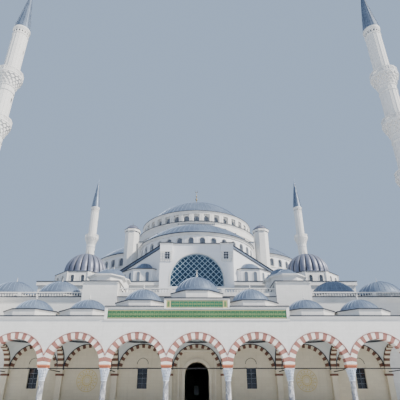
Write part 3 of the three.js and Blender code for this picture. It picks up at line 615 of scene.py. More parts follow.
def makeArcadeTrim():
    # Striped arch rings, their thin outer moulding, and the stepped cornice of the front
    p = portico
    bm = emptyMesh()
    y, outer, limit = p["front"], p["radius"] + p["ring"], p["bay"] / 2 - 0.005
    ring = voussoirSample(p["radius"] - 0.06, outer, y - 0.06, y + p["wall"] + 0.06, p["blocks"], (2, 1),
                          0.015, limit)
    edge = emptyMesh()
    arcBand(edge, outer + 0.01, outer + 0.1, acos(limit / (outer + 0.1)), y - 0.12, y + 0.1, 1, 44)
    edge = asSample(edge)
    for x in bayMiddles:
        stamp(bm, ring, at(x, 0, p["spring"]))
        stamp(bm, edge, at(x, 0, p["spring"]))
    low, middle, high = p["tops"]
    for side in (-1, 1):
        x0, x1 = sorted((side * p["inner"], side * p["end"]))
        addCornice(bm, x0, x1, y, low, 0.34, 0.6, (0, 3))
        x0, x1 = sorted((side * p["centre"], side * p["inner"]))
        addCornice(bm, x0, x1, y, middle, 0.22, 0.3, (0, 3))
        addPost(bm, side * p["stepPost"], 0.25, y - 0.16, y + 0.1, 13.5, 15.52, 0, 0.02)
        addPost(bm, side * p["centrePost"], 0.18, y - 0.16, y + 0.1, 15.36, 16.92, 0, 0.02)
    addCornice(bm, -p["centre"], p["centre"], y, high, 0.22, 0.3, (0, 3))
    addRun(bm, -15.6, 15.6, y, [(-0.1, 13.42), (0.06, 13.42), (0.2, 13.56), (0.2, 13.66), (0.12, 13.71),
                                (-0.1, 13.71)], 0)
    addRun(bm, -5.6, 5.6, y, [(-0.1, 15.36), (0.08, 15.36), (0.18, 15.44), (0.12, 15.5), (-0.1, 15.5)], 0)
    for x in columnLines:
        addPost(bm, x, 0.86, y - 0.12, y + p["wall"] + 0.12, p["spring"] - 0.03, p["spring"] + 0.2, 4, 0.02)
    finishPiece("portico_arch_rings", bm, [trimStone, redStone, creamStone, blackEdgeAndShade, impostStone],
                "pale_stone")


def makeBands():
    # Green and teal glazed bands with a plain pattern of stars and diamonds
    p = portico
    bm = emptyMesh()
    front = p["front"]
    half, low, high = bands["low"]
    addPost(bm, 0, half, front - 0.07, front + 0.05, low, high, 0)
    half, low, high = bands["high"]
    addPost(bm, 0, half, front - 0.07, front + 0.05, low, high, 1)
    for side in (-1, 1):
        x0, x1 = sorted(side * x for x in bands["ends"])
        addBox(bm, x0, x1, front - 0.08, front + 0.05, low, high, 3)
        addPost(bm, side * 4.84, 0.2, front - 0.12, front, 15.7, 16.6, 2)
    star = emptyMesh()
    reach = [bands["star"][k % 2] for k in range(16)]
    addPlate(star, [(r * cos(pi * k / 8), r * sin(pi * k / 8)) for k, r in enumerate(reach)], -0.035, 0.02,
             2)
    star = asSample(star)
    diamond = plateSample([(0.16, 0), (0, 0.26), (-0.16, 0), (0, -0.26)], -0.03, 0.02, 2)
    for half, count, z, lift in bands["rows"]:
        pitch = 2 * half / (count - 1)
        for i in range(count):
            x = -half + i * pitch
            stamp(bm, star, at(x, front - 0.07, z))
            if i < count - 1:
                for up, size in ((0, 1), (lift * 0.62, 0.6), (-lift * 0.62, 0.6)):
                    stamp(bm, diamond, at(x + pitch / 2, front - 0.07, z + up) @ Matrix.Scale(size, 4))
        for side in (-1, 1):
            edge = z + side * lift
            addBox(bm, -half - 0.3, half + 0.3, front - 0.1, front - 0.02, edge - 0.03, edge + 0.03, 3)
    finishPiece("portico_tile_bands", bm, [greenTile, tealTile, reliefGreen, fadedGilt], "pale_stone")


def addSailVault(bm, x, p):
    # The bay's sail vault under its round eye
    radius = hypot(p["halfX"], p["halfY"])
    vault = emptyMesh()
    bmesh.ops.create_uvsphere(vault, u_segments=48, v_segments=32, radius=radius)
    top = sqrt(radius * radius - p["eye"] ** 2)
    planes = (((p["halfX"], 0, 0), (1, 0, 0)), ((-p["halfX"], 0, 0), (-1, 0, 0)),
              ((0, p["halfY"], 0), (0, 1, 0)),
              ((0, -p["halfY"], 0), (0, -1, 0)), ((0, 0, top), (0, 0, 1)), ((0, 0, 0), (0, 0, -1)))
    for place, direction in planes:
        bmesh.ops.bisect_plane(vault, geom=vault.verts[:] + vault.edges[:] + vault.faces[:], plane_co=place,
                               plane_no=direction, clear_outer=True)
    bmesh.ops.solidify(vault, geom=vault.faces[:], thickness=-0.18)
    bmesh.ops.translate(vault, vec=(0, 0, p["spring"]), verts=vault.verts)
    setMaterial(vault.faces, 4)
    stamp(bm, asSample(vault), at(x, p["middle"], 0))


def deckSample(p):
    # The flat roof over a bay, with the round hole under the dome
    bm = emptyMesh()
    halfX, halfY = p["bay"] / 2 - 0.002, 4.44
    corner = atan2(halfY, halfX)
    first = [0, corner / 2, corner, (corner + pi / 2) / 2]
    angles = first + [pi / 2] + [pi - a for a in first[:0:-1]]
    angles = angles + [a + pi for a in angles]
    outline = []
    for a in angles:
        reach = min(halfX / max(abs(cos(a)), 1e-6), halfY / max(abs(sin(a)), 1e-6))
        outline.append((reach * cos(a), reach * sin(a)))
    hole = [(4.15 * cos(a), 4.15 * sin(a)) for a in angles]
    ringPlate(bm, outline, hole, 0, 0.25, 5)
    bmesh.ops.rotate(bm, matrix=Matrix.Rotation(pi / 2, 3, "X"), verts=bm.verts)
    return asSample(bm)


def makePorticoRoof():
    p = portico
    bm = emptyMesh()
    radius = hypot(p["halfX"], p["halfY"])
    eyeZ = p["spring"] + sqrt(radius * radius - p["eye"] ** 2)
    # Inner arch rings of shaded red and beige blocks: the red and cream of the front arches, with painted
    # shade
    ring = voussoirSample(3.62, 4.42, -0.48, 0.48, 23, (2, 1), 0.015)
    wallRing = voussoirSample(3.78, 4.46, -0.14, 0.12, 23, (2, 1), 0.015)
    lines = emptyMesh()
    arcBand(lines, 4.34, 4.47, 0, -0.07, 0.07, 3, 40)
    wallLine = asSample(lines)
    lines = emptyMesh()
    arcBand(lines, 3.90, 4.03, 0, -0.07, 0.07, 3, 40)
    crossLine = asSample(lines)
    y1 = p["back"] - 0.01
    cross = emptyMesh()
    high = p["deck"] - p["spring"] - 0.25
    outline = archLine(4.40, 0, 0, 24)[1:-1] + [(-4.44, 0), (-4.44, high), (4.44, high), (4.44, 0)]
    addPlate(cross, outline, -0.45, 0.45, 0)
    cross = asSample(cross)
    deck = deckSample(p)
    for k, x in enumerate(columnLines):
        inward = {0: 0.15, len(columnLines) - 1: -0.15}.get(k, 0)
        stamp(bm, ring, at(x + inward, p["middle"], p["spring"]) @ quarter)
        stamp(bm, cross, at(x + inward, p["middle"], p["spring"]) @ quarter)
        addPost(bm, x, 0.52, y1 - 0.66, y1, p["floor"] + 0.01, p["spring"] - 0.01, 0, 0.03)
        addPost(bm, x, 0.66, y1 - 0.8, y1, 5.4, 5.74, 1, 0.03)
        addPost(bm, x, 0.62, y1 - 0.76, y1, p["spring"] - 0.24, p["spring"], 2, 0.03)
    for i, x in enumerate(bayMiddles):
        rank = min(i, p["bays"] - 1 - i)
        top = p["drumTops"][rank]
        addSailVault(bm, x, p)
        stamp(bm, wallRing, at(x, y1 - 0.16, p["spring"]))
        stamp(bm, wallLine, at(x, p["middle"] + p["halfY"] - 0.07, p["spring"]))
        for side in (-1, 1):
            stamp(bm, crossLine, at(x + side * (p["halfX"] - 0.07), p["middle"], p["spring"]) @ quarter)
        addRing(bm, p["eye"], p["eye"] + 0.22, eyeZ - 0.05, top - 0.05, 40, 4, x, p["middle"])
        ringMoulding(bm, p["eye"], eyeZ + 0.05, ((0.1, -0.1), (0.12, -0.2)), 40, 3, x, p["middle"], 0)
        stamp(bm, deck, at(x, p["middle"], p["deck"] - 0.25))
    finishPiece("portico_vaulting", bm, [porchShadeBeige, shadedRedStone, porchShadeBeige, blackEdgeAndShade, vaultPaint,
                                         paleLead], "pale_stone",
                ["portico_vault_left", "portico_vault_middle", "portico_vault_right"])


def makePorticoDomes():
    p = portico
    for i, x in enumerate(bayMiddles):
        rank = min(i, p["bays"] - 1 - i)
        top, radius = p["drumTops"][rank], p["capRadii"][rank]
        base = top + p["skirt"]
        bm = emptyMesh()
        corner = 1 / cos(pi / 8)
        wall, hole = p["apothem"] - 0.05, p["eye"] + 0.25
        walls = [(hole, p["deck"] - 0.1), (wall * corner, p["deck"] - 0.1), (wall * corner, top - 0.1),
                 (hole, top - 0.1)]
        addTurned(bm, walls + walls[:1], 8, 0, start=pi / 8)
        ringCornice(bm, wall, top, p["eave"] - wall - 0.12, 0.36, 8, (2, 3))
        skirt = [(hole, top), ((p["eave"] - 0.1) * corner, top), ((p["eave"] - 0.1) * corner, top + 0.06),
                 (radius + 0.1, base + 0.08), (hole - 0.3, base + 0.08)]
        addTurned(bm, skirt + skirt[:1], 8, 1, start=pi / 8)
        trimPast(bm, (0, p["back"] - 0.003 - p["middle"], 0), (0, 1, 0))
        addLeadCap(bm, radius, p["capTops"][rank] - base, base, p["seams"], 10, 0.06, mat=1, ribMat=5)
        inside = capLine(p["eye"] - 0.5, p["capTops"][rank] - base - 0.6, base, 8)
        lining = [(p["eye"] + 0.05, top - 0.3), (p["eye"] + 0.05, base)] + inside
        addTurned(bm, [(r, z - 0.02) for r, z in lining], 40, 4)
        addFinial(bm, 0, 0, p["capTops"][rank] - 0.05, 1.7, 0.2, 2)
        finishPiece(f"portico_dome_{i + 1}_lead", bm, [wallStone, paleLead, trimStone, blackEdgeAndShade, vaultPaint,
                                                       seamHighlightLead], "lead_sheet",
                    [f"portico_dome_{i + 1}"], x=x, y=p["middle"])


columnSizes = {"floor": 0.5, "shaft": 0.45, "shaftTop": 4.33, "impost": 6.1, "top": 6.4, "half": 0.75}


def columnSample():
    c = columnSizes
    bm = emptyMesh()
    base = c["floor"] + 0.01
    addPost(bm, 0, 0.69, -0.69, 0.69, base, base + 0.26, 1, 0.03)
    foot = [(0, 0.2), (0.64, 0.26), (0.66, 0.32), (0.64, 0.40), (0.55, 0.44), (0.54, 0.52), (0.60, 0.56),
            (0.60, 0.62), (0.52, 0.68), (0, 0.68)]
    addTurned(bm, [(r, base + z) for r, z in foot], 32, 1)
    length = c["shaftTop"] - base - 0.74
    swell = [(c["shaft"] * (1 - 0.10 * (k / 8) ** 1.6), base + 0.66 + length * k / 8) for k in range(9)]
    addTurned(bm, [(0, base + 0.66)] + swell + [(0, c["shaftTop"] - 0.08)], 32, 0)
    collar = [(0, -0.14), (0.44, -0.14), (0.49, -0.08), (0.49, 0), (0.43, 0.05), (0, 0.05)]
    addTurned(bm, [(r, c["shaftTop"] + z) for r, z in collar], 32, 1)
    tiers = ((4.36, 0.40, 0.44, 16), (4.80, 0.49, 0.42, 16), (5.20, 0.58, 0.42, 16), (5.58, 0.66, 0.34, 16))
    addTurned(bm, [(0, 4.34), (0.38, 4.34), (0.50, 5.0), (0.60, 5.6), (0.66, 5.94), (0, 5.94)], 32, 3)
    for row, (z, radius, height, count) in enumerate(tiers):
        cell = emptyMesh()
        width = pi * radius / count * 0.86
        outline = [(-width * 0.25, 0), (width * 0.25, 0), (width, height * 0.72), (width, height),
                   (-width, height)]
        addPlate(cell, outline + [(-width, height * 0.72)], -0.09, 0.12, 1)
        cell = asSample(cell)
        for k in range(count):
            stamp(bm, cell, around(2 * pi * (k + 0.5 * (row % 2)) / count, radius, z))
    addBox(bm, -0.72, 0.72, -0.72, 0.72, 5.9, c["impost"], 1, 0.03)
    addBox(bm, -c["half"], c["half"], -c["half"], c["half"], c["impost"], c["top"] - 0.01, 2, 0.03)
    return asSample(bm)


def makeColumns():
    sample = columnSample()
    for i, x in enumerate(columnLines):
        bm = emptyMesh()
        stamp(bm, sample, at())
        mats = [shaftMarble, capitalMarble, impostStone, capitalShade]
        finishPiece(f"portico_column_{i + 1}_marble", bm, mats, "grey_marble", [f"portico_column_{i + 1}"],
                    x=x, y=portico["columnY"])


def makeTieRods():
    p = portico
    bm = emptyMesh()
    z = p["rod"]
    for x in bayMiddles:
        addPost(bm, x, 4.2, p["columnY"] - 0.07, p["columnY"] + 0.07, z - 0.07, z + 0.07)
    for x in columnLines:
        addPost(bm, x, 0.06, p["columnY"] + 0.72, p["back"] - 0.6, z - 0.07, z + 0.07)
    finishPiece("portico_tie_rods", bm, [ironBlack], "pale_stone")


def lunetteSample():
    # A blind pointed arch over a window, drawn in a thin dark moulding
    bm = emptyMesh()
    addArchBand(bm, 0.95, 1.03, 0, 0.1, -0.05, 0.02, 0, 20, tip=0.1)
    bmesh.ops.scale(bm, vec=(1, 1, 0.86), verts=bm.verts)
    return asSample(bm)


def makeBackWallTrim():
    # On the wall behind the portico: grilles, blind arches, faded rosettes and the doorway's frame
    bm = emptyMesh()
    p = portico
    face = p["back"]
    lunette = lunetteSample()
    for x in p["windows"]:
        addGrille(bm, x, face + 0.35, *p["window"])
        addFrame(bm, x, face, *p["window"])
        stamp(bm, lunette, at(x, face, 7.4))
    for x in p["rosettes"]:
        addRosette(bm, x, face, p["rosetteZ"], p["rosetteRadius"])
    half, spring = p["door"]
    for inner, outer, out in ((half, half + 0.55, 0.35), (half + 0.65, half + 0.85, 0.2)):
        addArchBand(bm, inner, outer, 0.52, spring, face - out, face + 0.1, 1, 24)
    for side in (-1, 1):
        addPost(bm, side * 3.3, 0.2, face - 0.3, face, 0.52, p["lintel"], 1, 0.03)
    addPost(bm, 0, 3.5, face - 0.42, face, p["lintel"], p["lintel"] + 0.4, 1, 0.03)
    finishPiece("portico_wall_trim", bm, [ironBlack, porchShadeBeige, fadedGilt, blackGlass, frameGrey],
                "pale_stone")


def addFrame(bm, x, face, half, sill, head):
    for side in (-1, 1):
        middle = x + side * (half + 0.1)
        addPost(bm, middle, 0.1, face - 0.08, face + 0.06, sill - 0.1, head + 0.2, 1)
    addPost(bm, x, half + 0.2, face - 0.08, face + 0.06, head, head + 0.2, 1)
    addPost(bm, x, half + 0.3, face - 0.18, face + 0.06, sill - 0.22, sill, 1)


def addGrille(bm, x, y, half, sill, head):
    # A few iron bars in front of dark glass
    addPost(bm, x, half + 0.02, y + 0.12, y + 0.2, sill - 0.02, head + 0.02, 3)
    for i in range(3):
        bar = x - half + half * i
        addPost(bm, bar, 0.04, y - 0.03, y + 0.03, sill, head, 4)
    for i in range(5):
        bar = sill + (head - sill) * i / 4
        addPost(bm, x, half, y - 0.025, y + 0.025, bar - 0.04, bar + 0.04, 4)


def addRosette(bm, x, face, z, radius):
    # A faded gilt rosette of rings, petals and leaves, a plain turned ornament
    flower = emptyMesh()
    for outer, inner, out in ((1.0, 0.93, 0.035), (0.66, 0.61, 0.03), (0.30, 0.25, 0.03)):
        outline, hole = ([(radius * share * cos(pi * i / 24),
                           radius * share * sin(pi * i / 24)) for i in range(48)]
                         for share in (outer, inner))
        ringPlate(flower, outline, hole, -out, 0.02, 2)
    petal = plateSample([(0, 0.33), (0.1, 0.45), (0, 0.60), (-0.1, 0.45)], -0.03, 0.02, 2)
    leaf = plateSample([(0, 0.68), (0.08, 0.78), (0, 0.91), (-0.08, 0.78)], -0.03, 0.02, 2)
    size = Matrix.Diagonal((radius, 1, radius, 1))
    for k in range(16):
        stamp(flower, petal, Matrix.Rotation(2 * pi * k / 16, 4, "Y") @ size)
        stamp(flower, leaf, Matrix.Rotation(2 * pi * (k + 0.5) / 16, 4, "Y") @ size)
    stamp(bm, asSample(flower), at(x, face, z))


makeArcadeTrim()
makeBands()
makePorticoRoof()
makePorticoDomes()
makeColumns()
makeTieRods()
makeBackWallTrim()
print("portico made")


# Main dome, drum and crossing

mainDome = {"radius": 17.6, "rise": 9.65, "z": 54.95, "seams": 72, "windows": 36, "base": 50.51,
            "top": 53.85,
            "drumTop": 54.9, "inner": 17.05, "wall": 18.1, "rim": 18.5, "ringRadius": 20.3, "ringTop": 50.5,
            "window": (0.85, 50.85, 52.6), "pier": (0.68, 0.55), "thick": 0.95, "flats": 108,
            "seat": (17.0, 18.3), "belt": 47.6, "blockAt": (18.75, 50.42), "crossing": 21.0,
            "steps": ((17.2, 43.5), (14.3, 44.5), (11.8, 46.2), (8.8, 47.6), (5.5, 49.3), (0, 49.3))}


def cadTop(node):
    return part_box(node)[1][2] / scaleDown


def makeMainDome():
    d = mainDome
    bm = emptyMesh()
    addLeadCap(bm, d["radius"], d["rise"], d["z"], d["seams"], 22, 0.07, ribMat=2, lip=0.3)
    crown = d["z"] + d["rise"] - 0.05
    addFinial(bm, 0, 0, crown, cadTop("main_dome") - crown, 0.6, 1)
    finishPiece("main_dome_lead", bm, [paleLead, giltMetal, seamHighlightLead], "lead_sheet", ["main_dome"])


def drumBaySample(radius, step, bottom, top, opening, pier, thick):
    # One bay of a drum: a recessed arched window between half piers, with its hood and glazing bars
    bm = emptyMesh()
    half = radius * sin(step / 2) + 0.02
    addWindowWall(bm, (half, bottom, top), opening, thick, 0.5, 12, (0, 1))
    addArchBand(bm, opening[0], opening[0] + 0.14, opening[1], opening[2], -0.08, 0.02, 2, 14)
    addBox(bm, -opening[0] - 0.16, opening[0] + 0.16, -0.14, 0.05, opening[1] - 0.12, opening[1], 2)
    addBox(bm, -0.035, 0.035, 0.38, 0.46, opening[1], opening[2] + opening[0] * 0.97, 4)
    for i in range(1, 5):
        z = opening[1] + (opening[2] - opening[1]) * i / 4
        addBox(bm, -opening[0], opening[0], 0.39, 0.45, z - 0.03, z + 0.03, 4)
    for side in (-1, 1) if pier else ():
        width, out = pier
        x0, x1 = sorted((side * half, side * (half - width)))
        addBox(bm, x0, x1, -out, 0.1, bottom, top, 0, 0.03)
    return asSample(bm)


def makeMainDrum():
    d = mainDome
    bm = emptyMesh()
    step = 2 * pi / d["windows"]
    bay = drumBaySample(d["wall"], step, d["base"], d["top"], d["window"], d["pier"], d["thick"])
    for k in range(d["windows"]):
        stamp(bm, bay, around(k * step, d["wall"] * cos(step / 2)))
    ringCornice(bm, d["rim"], d["drumTop"], 0.44, 1.05, d["flats"], (2, 3))
    addRing(bm, *d["seat"], d["top"], d["drumTop"], d["flats"], 2)
    addRing(bm, d["inner"], d["inner"] + 0.3, d["base"], d["top"], 72, 0)
    finishPiece("main_drum_windows", bm, [wallStone, paneGlass, trimStone, blackEdgeAndShade, frameGrey],
                "pale_stone", ["main_drum"])


def makeDrumBase():
    # The ring under the drum with small stepped blocks, and the treads of the crossing's stepped tops
    d = mainDome
    bm = emptyMesh()
    ringCornice(bm, d["ringRadius"], d["ringTop"] + 0.02, 0.24, 0.6, d["flats"], (0, 1))
    ringMoulding(bm, d["ringRadius"] - 0.02, d["belt"], ((0.16, 0.08), (0.12, 0.18)), d["flats"], 0,
                 depth=0.5)
    block = emptyMesh()
    addPlate(block, [(0, 0), (0, 0.8), (0.45, 0.8), (1.3, 0.3), (1.3, 0)], -0.5, 0.5, 0)
    addPlate(block, [(-0.03, 0.8), (0.45, 0.8), (1.34, 0.27), (1.34, 0.36), (0.48, 0.87), (-0.03, 0.87)],
             -0.54, 0.54, 1)
    block = asSample(block)
    step = 2 * pi / d["windows"]
    reach, foot = d["blockAt"]
    for k in range(d["windows"]):
        turn = Matrix.Rotation((k + 0.5) * step - pi / 2, 4, "Z")
        stamp(bm, block, turn @ Matrix.Translation((reach, 0, foot)))
    face = -d["crossing"]
    tread = emptyMesh()
    for (half, top), after in zip(d["steps"], d["steps"][1:]):
        for side in (-1, 1):
            x0, x1 = sorted((side * half, side * after[0]))
            addRun(tread, x0, x1, face, [(-0.4, top - 0.3), (0.05, top - 0.3), (0.14, top - 0.08),
                                         (-0.4, top - 0.08)], 0)
            addRun(tread, x0 - 0.04, x1 + 0.04, face, edgeProfile(top, 0.12), 1)
            end = side * half
            addPost(tread, end, 0.12, face - 0.1, face + 1, top - 0.1, top + 0.05, 1)
    tread = asSample(tread)
    for turn in sides.values():
        stamp(bm, tread, Matrix.Rotation(turn, 4, "Z"))
    finishPiece("drum_base_trim", bm, [trimStone, blackEdgeAndShade], "pale_stone")


semidome = {"centre": 16.5, "wall": 17.0, "rim": 17.15, "rimZ": 41.5, "rise": 7.45, "back": 21.01,
            "step": 10.4,
            "cap": 17.45, "window": (0.75, 37.8, 39.5), "foot": 32.33, "top": 41.0, "thick": 1.3,
            "flats": 72, "seat": (15.6, 17.1), "belt": 37.3}


def makeSemidomes():
    s = semidome
    step = radians(s["step"])
    bay = drumBaySample(s["wall"], step, s["foot"], s["top"], s["window"], None, s["thick"])
    for side, turn in sides.items():
        bm = emptyMesh()
        for k in range(-9, 9):
            stamp(bm, bay, around((k + 0.5) * step, s["wall"] * cos(step / 2)))
        ringCornice(bm, s["rim"], s["rimZ"] + 0.05, 0.4, 0.7, s["flats"], (2, 3))
        addRing(bm, *s["seat"], s["rimZ"] - 0.6, s["rimZ"], s["flats"], 2)
        ringMoulding(bm, s["wall"], s["belt"], ((0.12, 0.06), (0.12, 0.14)), s["flats"], 2, depth=0.8)
        bmesh.ops.translate(bm, vec=(0, -s["centre"], 0), verts=bm.verts)
        trimPast(bm, (0, -s["back"], 0), (0, 1, 0))
        finishPiece(f"{side}_semidome_drum", bm, [panelStone, paneGlass, trimStone, blackEdgeAndShade, frameGrey],
                    "pale_stone", [f"{side}_semidome"], turn=turn)
        bm = emptyMesh()
        addLeadCap(bm, s["cap"], s["rise"], s["rimZ"] + 0.05, s["flats"], 18, 0.07, y=-s["centre"],
                   ribMat=1, lip=0.3)
        trimPast(bm, (0, -s["back"], 0), (0, 1, 0))
        finishPiece(f"{side}_semidome_cap", bm, [paleLead, seamHighlightLead], "lead_sheet", [f"{side}_semidome"],
                    turn=turn)


makeMainDome()
makeMainDrum()
makeDrumBase()
makeSemidomes()
print("main dome and semi-domes made")


# Gable walls, great windows, exedrae and turrets

gable = {"front": -38.95, "side": -37.5, "half": 9.0, "window": 6.42, "foot": 25.6, "spring": 27.3,
         "top": 36.4, "low": 32.3,
         "sideX": 20.7, "sideY": -28.0, "pane": -38.35, "blockInner": 5.95, "blockFront": -39.6,
         "blockBottom": 34.1,
         "corbel": 31.7, "pitch": 1.36, "boss": (0.14, 0.11), "exedra": (13.2, -31.8), "exedraFace": 5.6,
         "exedraTop": 30.42, "exedraCap": (3.2, 2.05, 30.5), "exedraCapY": -34,
         "exedraWindow": (0.43, 27.35, 29.2)}


def latticeWindow():
    # White diagonal bars with round bosses over dark glass, inside the arch
    g = gable
    bm = emptyMesh()
    y, radius, foot = g["pane"], g["window"] - 0.02, g["foot"] - g["spring"] + 0.03
    addPlate(bm, archLine(radius, g["spring"] + foot, g["spring"], 40), y + 0.2, y + 0.3, 1)
    pitch = g["pitch"]
    for family in (-1, 1):
        for k in range(-14, 15):
            # The line x * family - z = offset, clipped by the half circle and the jambs below it
            offset = (k + 0.5) * pitch
            inside = []
            for i in range(401):
                z = foot + (radius - foot) * i / 400
                x = z + offset
                if abs(x) < radius - 0.05 and (z < 0 or hypot(x, z) < radius - 0.05):
                    inside.append(z)
            if len(inside) < 8:
                continue
            low, high = inside[0], inside[-1]
            x0, x1 = (low + offset) * family, (high + offset) * family
            length = hypot(x1 - x0, high - low)
            place = at((x0 + x1) / 2, y, g["spring"] + (low + high) / 2)
            place = place @ Matrix.Rotation(-atan2(high - low, x1 - x0), 4, "Y")
            stamp(bm, boxSample(-length / 2, length / 2, -0.06, 0.06, -0.055, 0.055, 0), place)
    boss = emptyMesh()
    wide, narrow = g["boss"]
    bmesh.ops.create_cone(boss, cap_ends=True, segments=10, radius1=wide, radius2=narrow, depth=0.2,
                          matrix=Matrix.Rotation(pi / 2, 4, "X"))
    boss = asSample(boss)
    for i in range(-6, 7):
        for row in range(-3, 11):
            x, z = (i + (0 if row % 2 else 0.5)) * pitch, row * pitch / 2
            if z > foot + 0.1 and abs(x) < radius - 0.1 and (z < 0 or hypot(x, z) < radius - 0.1):
                stamp(bm, boss, at(x, y, g["spring"] + z))
    addArchBand(bm, radius - 0.08, radius, g["spring"] + foot, g["spring"], y - 0.1, y + 0.3, 0, 40)
    return asSample(bm)


def corbelSample():
    # A corner block on rows of small pointed stalactite cells; above the lowest row the second and third
    # cells are painted near-black as the shade in the corbel's hollows
    g = gable
    bm = emptyMesh()
    rows = 4
    depth = g["front"] - g["blockFront"]
    for row in range(rows):
        z = g["corbel"] + (g["blockBottom"] - g["corbel"]) * row / rows
        out = depth * (row + 1) / rows
        for i in range(5):
            x = g["blockInner"] + 0.06 + (i + 0.5) * 0.59
            outline = [(-0.06, 0), (0.06, 0), (0.27, 0.42), (0.27, 0.58), (-0.27, 0.58), (-0.27, 0.42)]
            # Painted shade: cells 1 and 2 of the upper rows are near-black
            stamp(bm, plateSample(outline, g["front"] - out - 0.03, g["front"] - out + 0.3,
                     1 if i in (1, 2) and row > 0 else 0), at(x, 0, z))
    addBox(bm, g["blockInner"] - 0.04, g["half"] + 0.04, g["blockFront"] - 0.05, g["front"] + 0.1,
           g["blockBottom"] - 0.1, g["blockBottom"] + 0.1, 0, 0.02)
    addRun(bm, g["blockInner"] - 0.1, g["half"] + 0.1, g["blockFront"], hollowProfile(g["top"], 0.16, 0.5),
           0)
    addRun(bm, g["blockInner"] - 0.16, g["half"] + 0.16, g["blockFront"], edgeProfile(g["top"], 0.16), 1)
    return asSample(bm)


def exedraWindowSample():
    half, sill, spring = gable["exedraWindow"]
    window = emptyMesh()
    addArchBand(window, half, half + 0.11, sill, spring, -0.09, 0.03, 0, 12)
    addPlate(window, archLine(half, sill, spring, 12), -0.03, 0.03, 2)
    addPost(window, 0, 0.025, -0.06, 0.0, sill, spring + 0.4, 3)
    for z in (27.8, 28.3, 28.8, 29.2):
        addPost(window, 0, half, -0.055, 0.0, z - 0.025, z + 0.025, 3)
    return asSample(window)


def gableTrimSample():
    g = gable
    bm = emptyMesh()
    front = g["front"]
    addCornice(bm, -g["blockInner"], g["blockInner"], front, g["top"], 0.2, 0.4, (0, 1))
    addArchBand(bm, g["window"] + 0.04, g["window"] + 0.3, g["foot"], g["spring"], front - 0.06,
                front + 0.2, 0, 40)
    run = hypot(g["sideX"] - g["half"], g["sideY"] - g["side"])
    turn = atan2(g["sideY"] - g["side"], g["sideX"] - g["half"])
    corbel = corbelSample()
    coping = emptyMesh()
    # Pale lead coping on the rake between two near-black strips along its top and bottom, painted lines of
    # shade
    for drop, rise, out, mat in ((-0.6, 0.06, -0.12, 4), (0.0, 0.2, -0.3, 1), (-0.78, -0.58, -0.2, 1)):
        slope = [(-0.25, g["top"] + drop), (run + 0.2, g["low"] + drop), (run + 0.2, g["low"] + rise),
                 (-0.25, g["top"] + rise)]
        addPlate(coping, slope, out, 1.7, mat)
    coping = asSample(coping)
    window = exedraWindowSample()
    for side in (-1, 1):
        flip = Matrix.Diagonal((side, 1, 1, 1))
        stamp(bm, coping, flip @ at(g["half"], g["side"], 0, turn))
        stamp(bm, corbel, flip)
        x, y, face = side * g["exedra"][0], g["exedra"][1], g["exedraFace"]
        for k in (-1, 0, 1):
            for off in (-1.1, 1.1):
                if k == 0 or k == side:
                    stamp(bm, window, around(k * pi / 4, face, 0, x, y) @ Matrix.Translation((off, 0, 0)))
        ringCornice(bm, face, g["exedraTop"], 0.2, 0.36, 8, (0, 1), x, y)
        addLeadCap(bm, *g["exedraCap"], 20, 8, 0.05, x=x, y=g["exedraCapY"], mat=4, ribMat=5)
    return asSample(bm)


def makeGables():
    trim = gableTrimSample()
    lattice = latticeWindow()
    for side, turn in sides.items():
        placeSample(f"{side}_gable_trim", trim, [trimStone, blackEdgeAndShade, paneGlass, frameGrey, paleLead,
                                               seamHighlightLead], "pale_stone",
                    turn=turn)
        placeSample(f"{side}_lattice_window", lattice, [latticeStone, latticeGlass], "window_glass",
                    [f"{side}_great_window"], turn=turn)


turret = {"at": 19.5, "radius": 2.0, "top": 47.7, "capTop": 49.38}


def makeTurrets():
    t = turret
    bm = emptyMesh()
    for x in (-t["at"], t["at"]):
        for y in (-t["at"], t["at"]):
            ringCornice(bm, t["radius"], t["top"], 0.26, 0.5, 8, (0, 3), x, y)
            # A thin stone ring under the cornice, near-black as a painted line of shade
            ringMoulding(bm, t["radius"] / cos(pi / 8), 46.8, ((0.16, 0.05),), 8, 3, x, y)
            addLeadCap(bm, t["radius"] + 0.05, t["capTop"] - t["top"] - 0.05, t["top"] + 0.04, 16, 8, 0.05,
                       x=x, y=y, mat=1, ribMat=1)
            addFinial(bm, x, y, t["capTop"] - 0.05, 1.0, 0.12, 2)
    finishPiece("turret_caps", bm, [trimStone, darkLead, giltMetal, blackEdgeAndShade], "lead_sheet")


makeGables()
makeTurrets()
print("gables and turrets made")


# Corner domes

cornerDome = {"at": 29.4, "apothem": 6.9, "bottom": 27.01, "drumTop": 30.5, "shoulder": 30.0, "radius": 5.6,
              "apex": 36.7,
              "lobes": 20, "windowX": 1.25, "window": (0.45, 27.6, 28.75), "grooveShade": 0.3,
              "lobeDepth": 0.085}


def ribbedCap(d):
    # A melon dome: a turned shell whose meridians swell into round lobes, with the faces in the grooves
    # between lobes painted near-black as the shade in those creases
    bm = emptyMesh()
    arc = capLine(d["radius"], d["apex"] - d["drumTop"] - 0.3, d["drumTop"] + 0.3, 18)
    foot = [(0, d["drumTop"]), (d["radius"] + 0.15, d["drumTop"]),
            (d["radius"] + 0.15, d["drumTop"] + 0.14), (d["radius"], d["drumTop"] + 0.22)]
    addTurned(bm, foot + arc, d["lobes"] * 12, 0)
    for vert in bm.verts:
        across = hypot(vert.co.x, vert.co.y)
        if vert.co.z < d["drumTop"] + 0.26 or across < 0.01:
            continue
        lobe = abs(sin(atan2(vert.co.y, vert.co.x) * d["lobes"] / 2))
        share = 1 - d["lobeDepth"] * (1 - lobe ** 0.5) * min(1, across / 1.2)
        vert.co.x *= share
        vert.co.y *= share
    # Painted shade: faces at the bottom of each groove take the near-black material
    for face in bm.faces:
        middle = face.calc_center_median()
        lobe = abs(sin(atan2(middle.y, middle.x) * d["lobes"] / 2))
        if middle.z > d["drumTop"] + 0.3 and lobe < d["grooveShade"]:
            face.material_index = 2
    return bm


